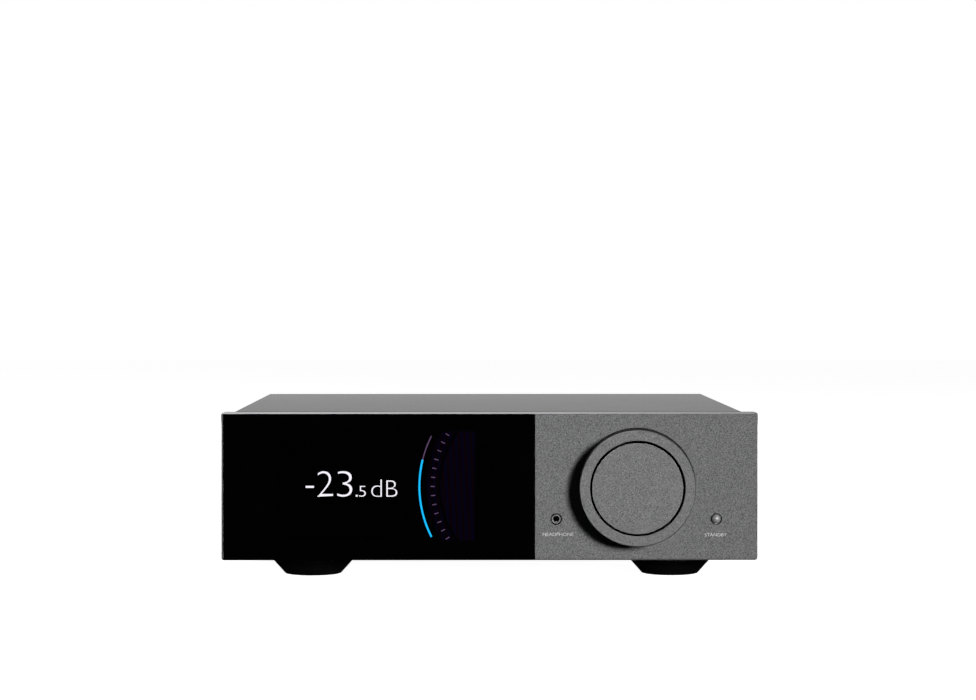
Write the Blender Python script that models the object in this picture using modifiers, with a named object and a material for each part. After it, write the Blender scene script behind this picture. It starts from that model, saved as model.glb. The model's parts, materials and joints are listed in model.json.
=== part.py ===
"""A desktop DAC and streaming amplifier, as the separate pieces that it comes apart into.

Metres, +Z up. The front faces -Y and the right-hand side is +X. The origin is on the
surface that the feet stand on, in the middle of the whole length and width.
"""

from math import cos, pi, radians, sin, tau

import bmesh
import bpy
from mathutils import Matrix, Vector

# Overall size
PANEL_WIDTH = 0.400
PANEL_HEIGHT = 0.1105
PANEL_THICKNESS = 0.009
PANEL_LIFT = 0.015
OVERALL_DEPTH = 0.382
KNOB_REACH = 0.020
TERMINAL_REACH = 0.018
COVER_WIDTH = 0.380
COVER_DROP = 0.0002

# Sheet metal and the gap that touching pieces keep
GAP = 0.0003
SHEET = 0.0015
BOARD = 0.0016
PAST = 0.010

# Front panel: the glass, the display behind it and the three controls
GLASS_LEFT, GLASS_RIGHT = -0.1983, 0.0342
GLASS_THICKNESS = 0.0022
RIM_TOP, RIM_BOTTOM = 0.0012, 0.0007
DISPLAY_CENTRE = (-0.0842, 0.0706)
DISPLAY_ACTIVE = (0.146, 0.0815)
DISPLAY_OUTLINE = (0.158, 0.092)
DISPLAY_THICKNESS = 0.0053
KNOB = (0.1090, 0.0701)
JACK = (0.0499, 0.0456)
STANDBY = (0.1693, 0.0456)

# Volume knob, from the panel's face inwards
RING_RADIUS = 0.043
RING_BACK = -0.001
GROOVE_INNER, GROOVE_OUTER = 0.0333, 0.0349
WEB_THICKNESS = 0.004
BOSS_RADIUS, BOSS_FRONT = 0.012, -0.009
DISC_THICKNESS = 0.006
SHAFT_RADIUS, SHAFT_BORE = 0.007, 0.0033
SHAFT_FRONT, SHAFT_END = -0.0093, 0.033
CLIP_GROOVE = (0.0270, 0.0282)
CLIP_GROOVE_RADIUS = 0.0062
PLUNGER_RADIUS = 0.0026
PLUNGER_FRONT, PLUNGER_END = -0.0162, 0.0335
SELECT_TRAVEL = 0.0015
HOUSING_FLANGE, HOUSING_TUBE, HOUSING_BORE = 0.024, 0.012, 0.010
HOUSING_END = 0.026
POST_CIRCLE, POST_RADIUS = 0.0205, 0.0025
WHEEL_RADIUS = 0.016
WHEEL_SPAN = (0.0300, 0.0315)
ENCODER_BOARD_FRONT = 0.040

# Boards behind the front panel, from the panel's face inwards
BULKHEAD_FRONT = 0.0093
CONTROL_BOARD_FRONT = 0.0243
DISPLAY_BOARD_FRONT = 0.0160
RIBBON_HEIGHT = 0.034
RIBBON_WIDTH = 0.024

# Chassis
BASE_BOTTOM = 0.017
FLANGE_TOP = 0.030
BOARD_BOTTOM = 0.0248
FOOT_RADIUS, FOOT_TOE = 0.0312, 0.0208
FOOT_X = (-0.1348, 0.1385)
FOOT_FROM_FACE = (0.055, 0.290)

# Rear connectors, as seen from the front
INLET = (-0.150, 0.046)
SWITCH = (-0.150, 0.086)
NETWORK_X, USB_X, HDMI_X, OPTICAL_X, COAX_X = -0.098, -0.072, -0.048, -0.024, 0.002
LINE_COLUMNS = (0.030, 0.048, 0.066)
RCA_ROWS = (0.0350, 0.0530)
TERMINAL_COLUMNS = {"left": 0.118, "right": 0.158}
TERMINAL_ROWS = {"upper": 0.085, "lower": 0.055}

# Worked out from the sizes above
FACE_Y = KNOB_REACH - OVERALL_DEPTH / 2
REAR_Y = OVERALL_DEPTH / 2 - TERMINAL_REACH
PANEL_TOP = PANEL_LIFT + PANEL_HEIGHT
COVER_TOP = PANEL_TOP - COVER_DROP
INNER_TOP = COVER_TOP - SHEET - GAP
REAR_INNER = REAR_Y - SHEET
INNER_HALF_WIDTH = COVER_WIDTH / 2 - SHEET - GAP
BASE_TOP = BASE_BOTTOM + SHEET
BOARD_TOP = BOARD_BOTTOM + BOARD
ON_BOARD = BOARD_TOP + GAP

AROUND = 36
AROUND_SMALL = 16


def inside(depth):
    """The Y of a point this far behind the panel's face."""
    return FACE_Y + depth


def about(middle, half):
    return (middle - half, middle + half)


# Collections and materials


def clear_scene():
    for old in list(bpy.data.objects):
        bpy.data.objects.remove(old, do_unlink=True)


def new_collection(name):
    made = bpy.data.collections.new(name)
    bpy.context.scene.collection.children.link(made)
    return made


def new_material(name, colour, roughness, metallic=0.0):
    made = bpy.data.materials.new(name)
    made.use_nodes = True
    made.diffuse_color = (*colour, 1.0)
    shader = made.node_tree.nodes["Principled BSDF"]
    shader.inputs["Base Color"].default_value = (*colour, 1.0)
    shader.inputs["Roughness"].default_value = roughness
    shader.inputs["Metallic"].default_value = metallic
    return made


clear_scene()
PARTS = new_collection("desktop_dac")
HELPERS = new_collection("desktop_dac_cutters")
HELPERS.hide_render = True

ANODISED = new_material("anodised_aluminium", (0.10, 0.10, 0.105), 0.45, 0.9)
KNOB_METAL = new_material("knob_aluminium", (0.115, 0.115, 0.12), 0.42, 0.9)
BLACK_GLASS = new_material("black_glass", (0.004, 0.004, 0.005), 0.05)
DISPLAY = new_material("display", (0.01, 0.01, 0.02), 0.3)
PAINTED_STEEL = new_material("painted_steel", (0.24, 0.24, 0.24), 0.5, 0.2)
PLATED_STEEL = new_material("plated_steel", (0.55, 0.55, 0.53), 0.35, 1.0)
MACHINED_STEEL = new_material("machined_steel", (0.62, 0.62, 0.62), 0.25, 1.0)
BRONZE = new_material("bearing_bronze", (0.60, 0.40, 0.20), 0.35, 1.0)
GOLD_PLATE = new_material("gold_plate", (0.85, 0.62, 0.25), 0.25, 1.0)
FOOT_RUBBER = new_material("foot_rubber", (0.012, 0.012, 0.012), 0.6)
BLACK_PLASTIC = new_material("black_plastic", (0.02, 0.02, 0.02), 0.5)
CLEAR_PLASTIC = new_material("terminal_plastic", (0.08, 0.08, 0.085), 0.25)
CIRCUIT_BOARD = new_material("circuit_board", (0.01, 0.07, 0.035), 0.4)
HEATSINK = new_material("heatsink_aluminium", (0.30, 0.30, 0.31), 0.5, 0.9)
WINDING = new_material("winding", (0.45, 0.16, 0.05), 0.4, 0.6)
SLEEVE = new_material("capacitor_sleeve", (0.03, 0.04, 0.09), 0.4)
CABLE = new_material("cable_sheath", (0.03, 0.03, 0.03), 0.55)
FOAM = new_material("foam", (0.03, 0.03, 0.03), 0.9)


# Shapes: each starts as a helper, and make_part turns one of them into a piece


def new_shape(mesh, name="shape"):
    made = bpy.data.objects.new(name, mesh)
    made.hide_render = True
    made.display_type = "WIRE"
    HELPERS.objects.link(made)
    return made


def add_box(work, x, y, z):
    size = Vector((x[1] - x[0], y[1] - y[0], z[1] - z[0]))
    middle = Vector((x[0] + x[1], y[0] + y[1], z[0] + z[1])) / 2
    place = Matrix.Translation(middle) @ Matrix.Diagonal((*size, 1.0))
    bmesh.ops.create_cube(work, size=1.0, matrix=place)


def boxes(limits):
    """One shape of separate boxes, each given as its (x, y, z) limits."""
    work = bmesh.new()
    for x, y, z in limits:
        add_box(work, x, y, z)
    mesh = bpy.data.meshes.new("boxes")
    work.to_mesh(mesh)
    work.free()
    return new_shape(mesh)


def box(x, y, z):
    return boxes([(x, y, z)])


def axis_turn(axis):
    """The rotation that lays local Z along a world axis."""
    turns = {"X": Matrix.Rotation(pi / 2, 4, "Y"), "Y": Matrix.Rotation(-pi / 2, 4, "X"), "Z": Matrix()}
    return turns[axis]


def axis_point(axis, across, along):
    """The point at (the two other coordinates) and at a place along the axis."""
    a, b = across
    return {"X": Vector((along, a, b)), "Y": Vector((a, along, b)), "Z": Vector((a, b, along))}[axis]


def smooth(mesh):
    mesh.shade_smooth()
    mesh.set_sharp_from_angle(angle=radians(35))


def cylinders(axis, centres, radius, span, around=AROUND_SMALL):
    """One shape of equal cylinders along an axis, at each (two other coordinates) in centres."""
    work = bmesh.new()
    for centre in centres:
        middle = axis_point(axis, centre, sum(span) / 2)
        bmesh.ops.create_cone(
            work,
            cap_ends=True,
            segments=around,
            radius1=radius,
            radius2=radius,
            depth=abs(span[1] - span[0]),
            matrix=Matrix.Translation(middle) @ axis_turn(axis),
        )
    mesh = bpy.data.meshes.new("cylinders")
    work.to_mesh(mesh)
    work.free()
    smooth(mesh)
    return new_shape(mesh)


def cylinder(axis, centre, radius, span, around=AROUND_SMALL):
    return cylinders(axis, [centre], radius, span, around)


def turned(axis, centre, profile, around=AROUND, closed=False):
    """A turned shape. The profile's (radius, place along the axis) points run down its outer side."""
    mesh = bpy.data.meshes.new("turned")
    edges = [(i, i + 1) for i in range(len(profile) - 1)]
    if closed:
        edges.append((len(profile) - 1, 0))
    mesh.from_pydata([(radius, 0.0, along) for radius, along in profile], edges, [])
    made = new_shape(mesh)
    made.matrix_world = Matrix.Translation(axis_point(axis, centre, 0.0)) @ axis_turn(axis)
    screw = made.modifiers.new("turn", "SCREW")
    screw.steps = around
    screw.render_steps = around
    screw.use_merge_vertices = True
    screw.merge_threshold = 0.00001
    return applied(made)


def applied(shape):
    """The shape with its modifiers, or its curve, made into a plain mesh with its loose ends welded."""
    graph = bpy.context.evaluated_depsgraph_get()
    mesh = bpy.data.meshes.new_from_object(shape.evaluated_get(graph))
    work = bmesh.new()
    work.from_mesh(mesh)
    bmesh.ops.remove_doubles(work, verts=work.verts, dist=0.000001)
    work.to_mesh(mesh)
    work.free()
    smooth(mesh)
    made = new_shape(mesh)
    made.matrix_world = shape.matrix_world
    bpy.data.objects.remove(shape)
    return made


def ring(axis, centre, outer, inner, span, around=AROUND):
    low, high = span
    return turned(axis, centre, [(outer, high), (outer, low), (inner, low), (inner, high)], around, True)


def tube_along(points, radius):
    """A round wire or cable along these points, with filled ends."""
    curve = bpy.data.curves.new("wire", "CURVE")
    curve.dimensions = "3D"
    curve.bevel_depth = radius
    curve.bevel_resolution = 2
    curve.use_fill_caps = True
    spline = curve.splines.new("POLY")
    spline.points.add(len(points) - 1)
    for made, point in zip(spline.points, points):
        made.co = (*point, 1.0)
    return applied(new_shape(curve))


def set_origin(shape, point):
    """Moves a shape's origin and leaves the shape where it is."""
    point = Vector(point)
    shape.data.transform(Matrix.Translation(shape.location - point))
    shape.location = point


def boolean(shape, other, operation):
    modifier = shape.modifiers.new(operation.lower(), "BOOLEAN")
    modifier.operation = operation
    modifier.solver = "EXACT"
    modifier.object = other


def make_part(name, material, shape, add=(), cut=(), edge=0.0):
    """Makes a shape into the piece of this name, with other shapes joined to it and cut from it."""
    shape.name = name
    shape.data.name = name
    HELPERS.objects.unlink(shape)
    PARTS.objects.link(shape)
    shape.hide_render = False
    shape.display_type = "TEXTURED"
    shape.data.materials.clear()
    shape.data.materials.append(material)
    if edge:
        bevel = shape.modifiers.new("edge", "BEVEL")
        bevel.width = edge
        bevel.segments = 1
    for other in add:
        boolean(shape, other, "UNION")
    for other in cut:
        boolean(shape, other, "DIFFERENCE")
    return shape


# Front panel and what it holds


def display_span(size, extra=0.0):
    """The X and Z limits of a rectangle of this size on the display's centre."""
    return (about(DISPLAY_CENTRE[0], size[0] / 2 + extra), about(DISPLAY_CENTRE[1], size[1] / 2 + extra))


def front_panel():
    back = FACE_Y + PANEL_THICKNESS
    plate = box(about(0, PANEL_WIDTH / 2), (FACE_Y, back), (PANEL_LIFT, PANEL_TOP))
    rebate = box(
        (GLASS_LEFT, GLASS_RIGHT),
        (FACE_Y - PAST, inside(GLASS_THICKNESS + GAP)),
        (PANEL_LIFT + RIM_BOTTOM, PANEL_TOP - RIM_TOP),
    )
    window_x, window_z = display_span(DISPLAY_OUTLINE, 0.0015)
    window = box(window_x, (FACE_Y - PAST, back + PAST), window_z)
    through = (FACE_Y - PAST, back + PAST)
    shaft_hole = cylinder("Y", KNOB, 0.008, through, 24)
    control_holes = cylinders("Y", [JACK, STANDBY], 0.0043, through, 24)
    flange_recess = cylinder("Y", STANDBY, 0.0062, (inside(0.0042), back + PAST), 24)
    cut = [rebate, window, shaft_hole, control_holes, flange_recess]
    make_part("front_panel", ANODISED, plate, cut=cut)


def display_glass():
    x = (GLASS_LEFT + GAP, GLASS_RIGHT - GAP)
    z = (PANEL_LIFT + RIM_BOTTOM + GAP, PANEL_TOP - RIM_TOP - GAP)
    make_part("display_glass", BLACK_GLASS, box(x, (FACE_Y, inside(GLASS_THICKNESS)), z))


def lcd_module():
    front = GLASS_THICKNESS + GAP
    x, z = display_span(DISPLAY_OUTLINE)
    body = box(x, (inside(front), inside(front + DISPLAY_THICKNESS)), z)
    x, z = display_span(DISPLAY_ACTIVE)
    screen = box(x, (inside(front) - PAST, inside(front + 0.0004)), z)
    make_part("lcd_module", DISPLAY, body, cut=[screen])


def display_pad():
    front = GLASS_THICKNESS + DISPLAY_THICKNESS + 2 * GAP
    y = (inside(front), inside(BULKHEAD_FRONT - GAP))
    x, z = display_span(DISPLAY_OUTLINE)
    inner_x, inner_z = display_span(DISPLAY_OUTLINE, -0.005)
    opening = box(inner_x, (y[0] - PAST, y[1] + PAST), inner_z)
    make_part("display_pad", FOAM, box(x, y, z), cut=[opening])


DISPLAY_BOARD_X = (-0.150, -0.018)
DISPLAY_BOARD_Z = (0.040, 0.100)


def display_bracket():
    front = BULKHEAD_FRONT + SHEET + GAP
    plate = box(DISPLAY_BOARD_X, (inside(front), inside(front + 0.0012)), DISPLAY_BOARD_Z)
    inset = 0.008
    corners = [
        (x, z)
        for x in (DISPLAY_BOARD_X[0] + inset, DISPLAY_BOARD_X[1] - inset)
        for z in (DISPLAY_BOARD_Z[0] + inset, DISPLAY_BOARD_Z[1] - inset)
    ]
    posts = cylinders("Y", corners, 0.0028, (inside(front + 0.0006), inside(DISPLAY_BOARD_FRONT - GAP)), 10)
    make_part("display_bracket", PLATED_STEEL, plate, add=[posts])


def display_board():
    front, back = inside(DISPLAY_BOARD_FRONT), inside(DISPLAY_BOARD_FRONT + BOARD)
    board = box(DISPLAY_BOARD_X, (front, back), DISPLAY_BOARD_Z)
    deep = back - BOARD / 2
    middle = DISPLAY_CENTRE[0]
    parts = boxes(
        [
            (about(middle, 0.014), (deep, back + 0.0030), (0.0471, 0.0520)),
            (about(middle, 0.010), (deep, back + 0.0018), (0.0620, 0.0820)),
            (about(middle + 0.040, 0.006), (deep, back + 0.0060), (0.0650, 0.0800)),
            (about(middle - 0.040, 0.005), (deep, back + 0.0025), (0.0700, 0.0800)),
        ]
    )
    make_part("display_board", CIRCUIT_BOARD, board, add=[parts])


def display_ribbon_cable():
    """A flat cable from the display's back, under the display board, up into its connector."""
    start = inside(GLASS_THICKNESS + DISPLAY_THICKNESS + 2 * GAP)
    run_y = inside(DISPLAY_BOARD_FRONT + BOARD + 0.0016)
    bend = 0.0020
    path = [(start, RIBBON_HEIGHT)]
    for step in range(5):
        turn = step / 4 * pi / 2
        path.append((run_y - bend + bend * sin(turn), RIBBON_HEIGHT + bend - bend * cos(turn)))
    path.append((run_y, 0.0471 - GAP))
    mesh = bpy.data.meshes.new("ribbon")
    left, right = about(DISPLAY_CENTRE[0], RIBBON_WIDTH / 2)
    points = [(x, y, z) for y, z in path for x in (left, right)]
    faces = [(2 * i, 2 * i + 1, 2 * i + 3, 2 * i + 2) for i in range(len(path) - 1)]
    mesh.from_pydata(points, [], faces)
    strip = make_part("display_ribbon_cable", CABLE, new_shape(mesh))
    thickness = strip.modifiers.new("thickness", "SOLIDIFY")
    thickness.thickness = 0.0004
    thickness.offset = 0.0


def headphone_jack():
    body_y = (inside(BULKHEAD_FRONT + SHEET + 2 * GAP), inside(CONTROL_BOARD_FRONT - GAP))
    body = box(about(JACK[0], 0.007), body_y, about(JACK[1], 0.007))
    nose = cylinder("Y", JACK, 0.0038, (inside(0.0003), body_y[0] + 0.002), 24)
    bore = cylinder("Y", JACK, 0.0018, (FACE_Y - PAST, inside(0.0180)), 24)
    mouth_depth, mouth_front = inside(0.0012), inside(-0.0006)
    flare = [(0, mouth_depth), (0.0016, mouth_depth), (0.0034, mouth_front), (0, mouth_front)]
    mouth = turned("Y", JACK, flare, 24)
    make_part("headphone_jack", BLACK_PLASTIC, body, add=[nose], cut=[bore, mouth])


def control_board():
    y = (inside(CONTROL_BOARD_FRONT), inside(CONTROL_BOARD_FRONT + BOARD))
    board = box((0.036, 0.184), y, (0.026, 0.053))
    notch = box(about(KNOB[0], 0.030), (y[0] - PAST, y[1] + PAST), (0.044, 0.060))
    plug = box((0.070, 0.090), (y[1] - BOARD / 2, y[1] + 0.006), (0.029, 0.037))
    make_part("control_board", CIRCUIT_BOARD, board, add=[plug], cut=[notch])


STANDBY_ROD_END = 0.0195
STANDBY_TRAVEL = 0.001


def standby_switch():
    body_y = (inside(0.0214), inside(CONTROL_BOARD_FRONT - GAP))
    body = box(about(STANDBY[0], 0.003), body_y, about(STANDBY[1], 0.003))
    stem_y = (inside(STANDBY_ROD_END + STANDBY_TRAVEL + GAP), body_y[0] + 0.001)
    stem = cylinder("Y", STANDBY, 0.0016, stem_y, 12)
    make_part("standby_switch", BLACK_PLASTIC, body, add=[stem])


def standby_button():
    head, flange, rod = 0.0035, 0.0056, 0.0020
    rim, apex, dome_steps = 0.0004, -0.0008, 4
    dome = [
        (head * sin(i / dome_steps * pi / 2), inside(rim + (apex - rim) * cos(i / dome_steps * pi / 2)))
        for i in range(dome_steps, -1, -1)
    ]
    profile = [
        (0, inside(STANDBY_ROD_END)),
        (rod, inside(STANDBY_ROD_END)),
        (rod, inside(0.0057)),
        (flange, inside(0.0057)),
        (flange, inside(0.0046)),
        (head, inside(0.0046)),
        *dome,
    ]
    make_part("standby_button", KNOB_METAL, turned("Y", STANDBY, profile, 20))


# Volume knob, its shaft and the encoder that reads it


def volume_ring():
    front, back = inside(-KNOB_REACH), inside(RING_BACK)
    web_front = inside(RING_BACK - WEB_THICKNESS)
    bore = SHAFT_RADIUS + GAP
    chamfer = 0.0006
    profile = [
        (RING_RADIUS, back),
        (RING_RADIUS, front + chamfer),
        (RING_RADIUS - chamfer, front),
        (GROOVE_OUTER, front),
        (GROOVE_OUTER, web_front),
        (BOSS_RADIUS, web_front),
        (BOSS_RADIUS, inside(BOSS_FRONT)),
        (bore, inside(BOSS_FRONT)),
        (bore, back),
    ]
    make_part("volume_ring", KNOB_METAL, turned("Y", KNOB, profile, 48, closed=True))


def select_disc():
    front = inside(-KNOB_REACH)
    disc = cylinder("Y", KNOB, GROOVE_INNER, (front, front + DISC_THICKNESS), 48)
    hole_span = (inside(PLUNGER_FRONT) - GAP, front + DISC_THICKNESS + PAST)
    hole = cylinder("Y", KNOB, PLUNGER_RADIUS + GAP, hole_span)
    make_part("select_disc", KNOB_METAL, disc, cut=[hole])


def select_plunger():
    span = (inside(PLUNGER_FRONT), inside(PLUNGER_END))
    make_part("select_plunger", MACHINED_STEEL, cylinder("Y", KNOB, PLUNGER_RADIUS, span))


def select_spring():
    """A coil round the plunger, between the disc's back and the shaft's front end."""
    wire, coil, turns, steps = 0.00035, 0.0050, 3, 12
    start = inside(-KNOB_REACH + DISC_THICKNESS) + GAP + wire
    end = inside(SHAFT_FRONT) - GAP - wire
    points = []
    for i in range(turns * steps + 1):
        angle = tau * i / steps
        along = start + (end - start) * i / (turns * steps)
        points.append((KNOB[0] + coil * cos(angle), along, KNOB[1] + coil * sin(angle)))
    make_part("select_spring", MACHINED_STEEL, tube_along(points, wire))


def knob_shaft():
    groove_start, groove_end = (inside(depth) for depth in CLIP_GROOVE)
    front, end = inside(SHAFT_FRONT), inside(SHAFT_END)
    profile = [
        (SHAFT_RADIUS, end),
        (SHAFT_RADIUS, groove_end),
        (CLIP_GROOVE_RADIUS, groove_end),
        (CLIP_GROOVE_RADIUS, groove_start),
        (SHAFT_RADIUS, groove_start),
        (SHAFT_RADIUS, front),
        (SHAFT_BORE, front),
        (SHAFT_BORE, end),
    ]
    make_part("knob_shaft", MACHINED_STEEL, turned("Y", KNOB, profile, 24, closed=True))


def knob_circlip():
    span = (inside(CLIP_GROOVE[0] + GAP), inside(CLIP_GROOVE[1] - GAP))
    clip = ring("Y", KNOB, 0.0095, CLIP_GROOVE_RADIUS + GAP, span, 24)
    through = (span[0] - PAST, span[1] + PAST)
    opening = box(about(KNOB[0], 0.003), through, (KNOB[1] - 0.012, KNOB[1] - 0.004))
    make_part("knob_circlip", MACHINED_STEEL, clip, cut=[opening])


def encoder_wheel():
    hub, bore = 0.0095, SHAFT_RADIUS + GAP
    disc_front, disc_back = (inside(depth) for depth in WHEEL_SPAN)
    hub_front, hub_back = inside(0.0285), inside(SHAFT_END)
    profile = [
        (hub, hub_back),
        (hub, disc_back),
        (WHEEL_RADIUS, disc_back),
        (WHEEL_RADIUS, disc_front),
        (hub, disc_front),
        (hub, hub_front),
        (bore, hub_front),
        (bore, hub_back),
    ]
    holes_on, count = 0.0132, 12
    centres = [
        (KNOB[0] + holes_on * cos(tau * i / count), KNOB[1] + holes_on * sin(tau * i / count))
        for i in range(count)
    ]
    holes = cylinders("Y", centres, 0.0014, (disc_front - PAST, disc_back + PAST), 8)
    make_part("encoder_wheel", BLACK_PLASTIC, turned("Y", KNOB, profile, 24, closed=True), cut=[holes])


def bearing_housing():
    front, flange_back, end = inside(BULKHEAD_FRONT), inside(BULKHEAD_FRONT + 0.003), inside(HOUSING_END)
    profile = [
        (HOUSING_TUBE, end),
        (HOUSING_TUBE, flange_back),
        (HOUSING_FLANGE, flange_back),
        (HOUSING_FLANGE, front),
        (HOUSING_BORE, front),
        (HOUSING_BORE, end),
    ]
    centres = [
        (KNOB[0] + POST_CIRCLE * cos(tau * i / 3), KNOB[1] + POST_CIRCLE * sin(tau * i / 3))
        for i in range(3)
    ]
    span = (flange_back - 0.0015, inside(ENCODER_BOARD_FRONT - GAP))
    posts = cylinders("Y", centres, POST_RADIUS, span, 12)
    make_part("bearing_housing", MACHINED_STEEL, turned("Y", KNOB, profile, 32, closed=True), add=[posts])


def shaft_bushing():
    span = (inside(BULKHEAD_FRONT + GAP), inside(HOUSING_END - GAP))
    inner, outer = SHAFT_RADIUS + GAP, HOUSING_BORE - GAP
    make_part("shaft_bushing", BRONZE, ring("Y", KNOB, outer, inner, span, 24))


def encoder_board():
    """The board behind the knob, with the push switch that the plunger reaches."""
    y = (inside(ENCODER_BOARD_FRONT), inside(ENCODER_BOARD_FRONT + BOARD))
    board = box(about(KNOB[0], 0.024), y, about(KNOB[1], 0.024))
    stem_front = inside(PLUNGER_END + SELECT_TRAVEL + GAP)
    body_front = stem_front + 0.0009
    switch = box(about(KNOB[0], 0.003), (body_front, y[0] + BOARD / 2), about(KNOB[1], 0.003))
    stem = cylinder("Y", KNOB, 0.0017, (stem_front, body_front + 0.001), 12)
    plug = box(about(KNOB[0], 0.006), (y[1] - BOARD / 2, y[1] + 0.005), (KNOB[1] - 0.020, KNOB[1] - 0.012))
    make_part("encoder_board", CIRCUIT_BOARD, board, add=[switch, stem, plug])


def encoder_sensor():
    """A forked light gate whose two arms stand either side of the wheel's rim."""
    y = (inside(WHEEL_SPAN[0] - 0.002), inside(ENCODER_BOARD_FRONT - GAP))
    body = box(about(KNOB[0], 0.004), y, (KNOB[1] + 0.0115, KNOB[1] + 0.0215))
    fork = (inside(WHEEL_SPAN[0] - 0.0004), inside(WHEEL_SPAN[1] + 0.0004))
    slot = box(about(KNOB[0], 0.004 + PAST), fork, (KNOB[1], KNOB[1] + WHEEL_RADIUS + 0.001))
    make_part("encoder_sensor", BLACK_PLASTIC, body, cut=[slot])


# Chassis


BOARDS = {
    "power_supply_board": ((-0.180, -0.040), (-0.130, 0.040)),
    "amplifier_board": ((0.092, 0.182), (-0.110, 0.150)),
    "main_board": ((-0.115, 0.082), (0.060, 0.168)),
}


def board_corners(inset=0.006):
    return [
        (x, y)
        for x_span, y_span in BOARDS.values()
        for x in (x_span[0] + inset, x_span[1] - inset)
        for y in (y_span[0] + inset, y_span[1] - inset)
    ]


def slot_row(first, count, along, through):
    """The limits of a row of slots, set 10 mm apart in X from the first one."""
    return [(about(first + i * 0.010, 0.0015), along, through) for i in range(count)]


def chassis_base():
    front, back = inside(BULKHEAD_FRONT), REAR_INNER - GAP
    wall = about(0, INNER_HALF_WIDTH)
    tray = box(wall, (front, back), (BASE_BOTTOM, INNER_TOP))
    behind = (front + SHEET, back + PAST)
    hollow = box(about(0, INNER_HALF_WIDTH - SHEET), behind, (BASE_TOP, INNER_TOP + PAST))
    above_sides = box(about(0, INNER_HALF_WIDTH + PAST), behind, (FLANGE_TOP, INNER_TOP + PAST))
    standoffs = cylinders("Z", board_corners(), 0.003, (BASE_TOP - SHEET / 2, BOARD_BOTTOM - GAP), 8)
    through = (front - PAST, front + SHEET + PAST)
    ribbon_slot = box(about(DISPLAY_CENTRE[0], 0.014), through, about(RIBBON_HEIGHT, 0.002))
    knob_hole = cylinder("Y", KNOB, HOUSING_FLANGE + 2 * GAP, through, 32)
    jack_hole = cylinder("Y", JACK, 0.0045, through)
    button_hole = cylinder("Y", STANDBY, 0.0032, through)
    floor = (BASE_BOTTOM - PAST, BASE_TOP + PAST)
    under_supply = slot_row(-0.150, 9, (-0.080, -0.030), floor)
    under_amplifier = slot_row(0.110, 7, (-0.040, 0.010), floor)
    vents = boxes(under_supply + under_amplifier)
    cut = [hollow, above_sides, ribbon_slot, knob_hole, jack_hole, button_hole, vents]
    base = make_part("chassis_base", PLATED_STEEL, tray, cut=cut)
    boolean(base, standoffs, "UNION")


def top_cover():
    """A folded sheet over the top and both sides, with a row of slots low in each side."""
    y = (inside(BULKHEAD_FRONT), REAR_Y + GAP)
    shell = box(about(0, COVER_WIDTH / 2), y, (BASE_BOTTOM, COVER_TOP))
    past_y = (y[0] - PAST, y[1] + PAST)
    hollow = box(about(0, COVER_WIDTH / 2 - SHEET), past_y, (BASE_BOTTOM - PAST, COVER_TOP - SHEET))
    across = about(0, COVER_WIDTH / 2 + PAST)
    slots = boxes([(across, about(-0.010 + i * 0.010, 0.0015), (0.060, 0.095)) for i in range(13)])
    make_part("top_cover", PAINTED_STEEL, shell, cut=[hollow, slots])


PLATE_X, PLATE_Z = (-0.170, -0.011), (0.0215, 0.1010)


def rear_panel():
    """The painted back sheet, with round holes on one side and the socket plate's window on the other."""
    y = (REAR_INNER, REAR_Y)
    through = (y[0] - PAST, y[1] + PAST)
    sheet = box(about(0, INNER_HALF_WIDTH), y, (BASE_BOTTOM, INNER_TOP))
    window = box(PLATE_X, through, PLATE_Z)
    round_holes = [(x, z) for x in (COAX_X, *LINE_COLUMNS) for z in RCA_ROWS]
    rca_holes = cylinders("Y", round_holes, RCA_RADIUS + 0.0005, through)
    post_holes = cylinders("Y", terminal_centres(), 0.0045, through)
    make_part("rear_panel", PAINTED_STEEL, sheet, cut=[window, rca_holes, post_holes])


def socket_plate():
    """The plate of the mains and digital sockets, with a tab behind the back sheet at each end."""
    y = (REAR_INNER, REAR_Y)
    through = (y[0] - PAST, y[1] + PAST)
    left, right = PLATE_X[0] + GAP, PLATE_X[1] - GAP
    plate = box((left, right), y, (PLATE_Z[0] + GAP, PLATE_Z[1] - GAP))
    tab_back, tab_z = y[0] - 0.0018, (0.070, 0.090)
    root_spans = [(left, left + 0.003), (right - 0.003, right)]
    tab_spans = [(left - 0.005, left + 0.0029), (right - 0.0029, right + 0.005)]
    roots = boxes([(x, (tab_back, y[0] + 0.0001), tab_z) for x in root_spans])
    tabs = boxes([(x, (tab_back, y[0] - GAP), tab_z) for x in tab_spans])
    sockets = boxes(
        [
            (about(INLET[0], 0.0138), through, about(INLET[1], 0.0102)),
            (about(SWITCH[0], 0.0073), through, about(SWITCH[1], 0.0108)),
            (about(NETWORK_X, 0.0083), through, (ON_BOARD - GAP, 0.0405)),
            (about(USB_X, 0.0069), through, (ON_BOARD - GAP, 0.0340)),
            (about(HDMI_X, 0.0078), through, (ON_BOARD - GAP, 0.0335)),
            (about(OPTICAL_X, 0.0053), through, (ON_BOARD - GAP, 0.0385)),
        ]
    )
    make_part("socket_plate", PAINTED_STEEL, plate, add=[roots, tabs], cut=[sockets])


def foot(name, x, depth):
    """A round foot that narrows towards the floor."""
    top, shoulder = BASE_BOTTOM - GAP, 0.0112
    profile = [
        (0, top),
        (FOOT_RADIUS + 0.0005, top),
        (FOOT_RADIUS + 0.0005, shoulder + 0.0010),
        (FOOT_RADIUS, shoulder),
        (FOOT_TOE, 0.0010),
        (FOOT_TOE - 0.0010, 0.0),
        (0, 0.0),
    ]
    make_part(name, FOOT_RUBBER, turned("Z", (x, inside(depth)), profile, 32))


def feet():
    for end, depth in zip(("front", "rear"), FOOT_FROM_FACE):
        for side, x in zip(("left", "right"), FOOT_X):
            foot(f"foot_{end}_{side}", x, depth)


# Boards and what stands on them


def board_plate(name):
    x, y = BOARDS[name]
    return box(x, y, (BOARD_BOTTOM, BOARD_TOP))


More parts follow.
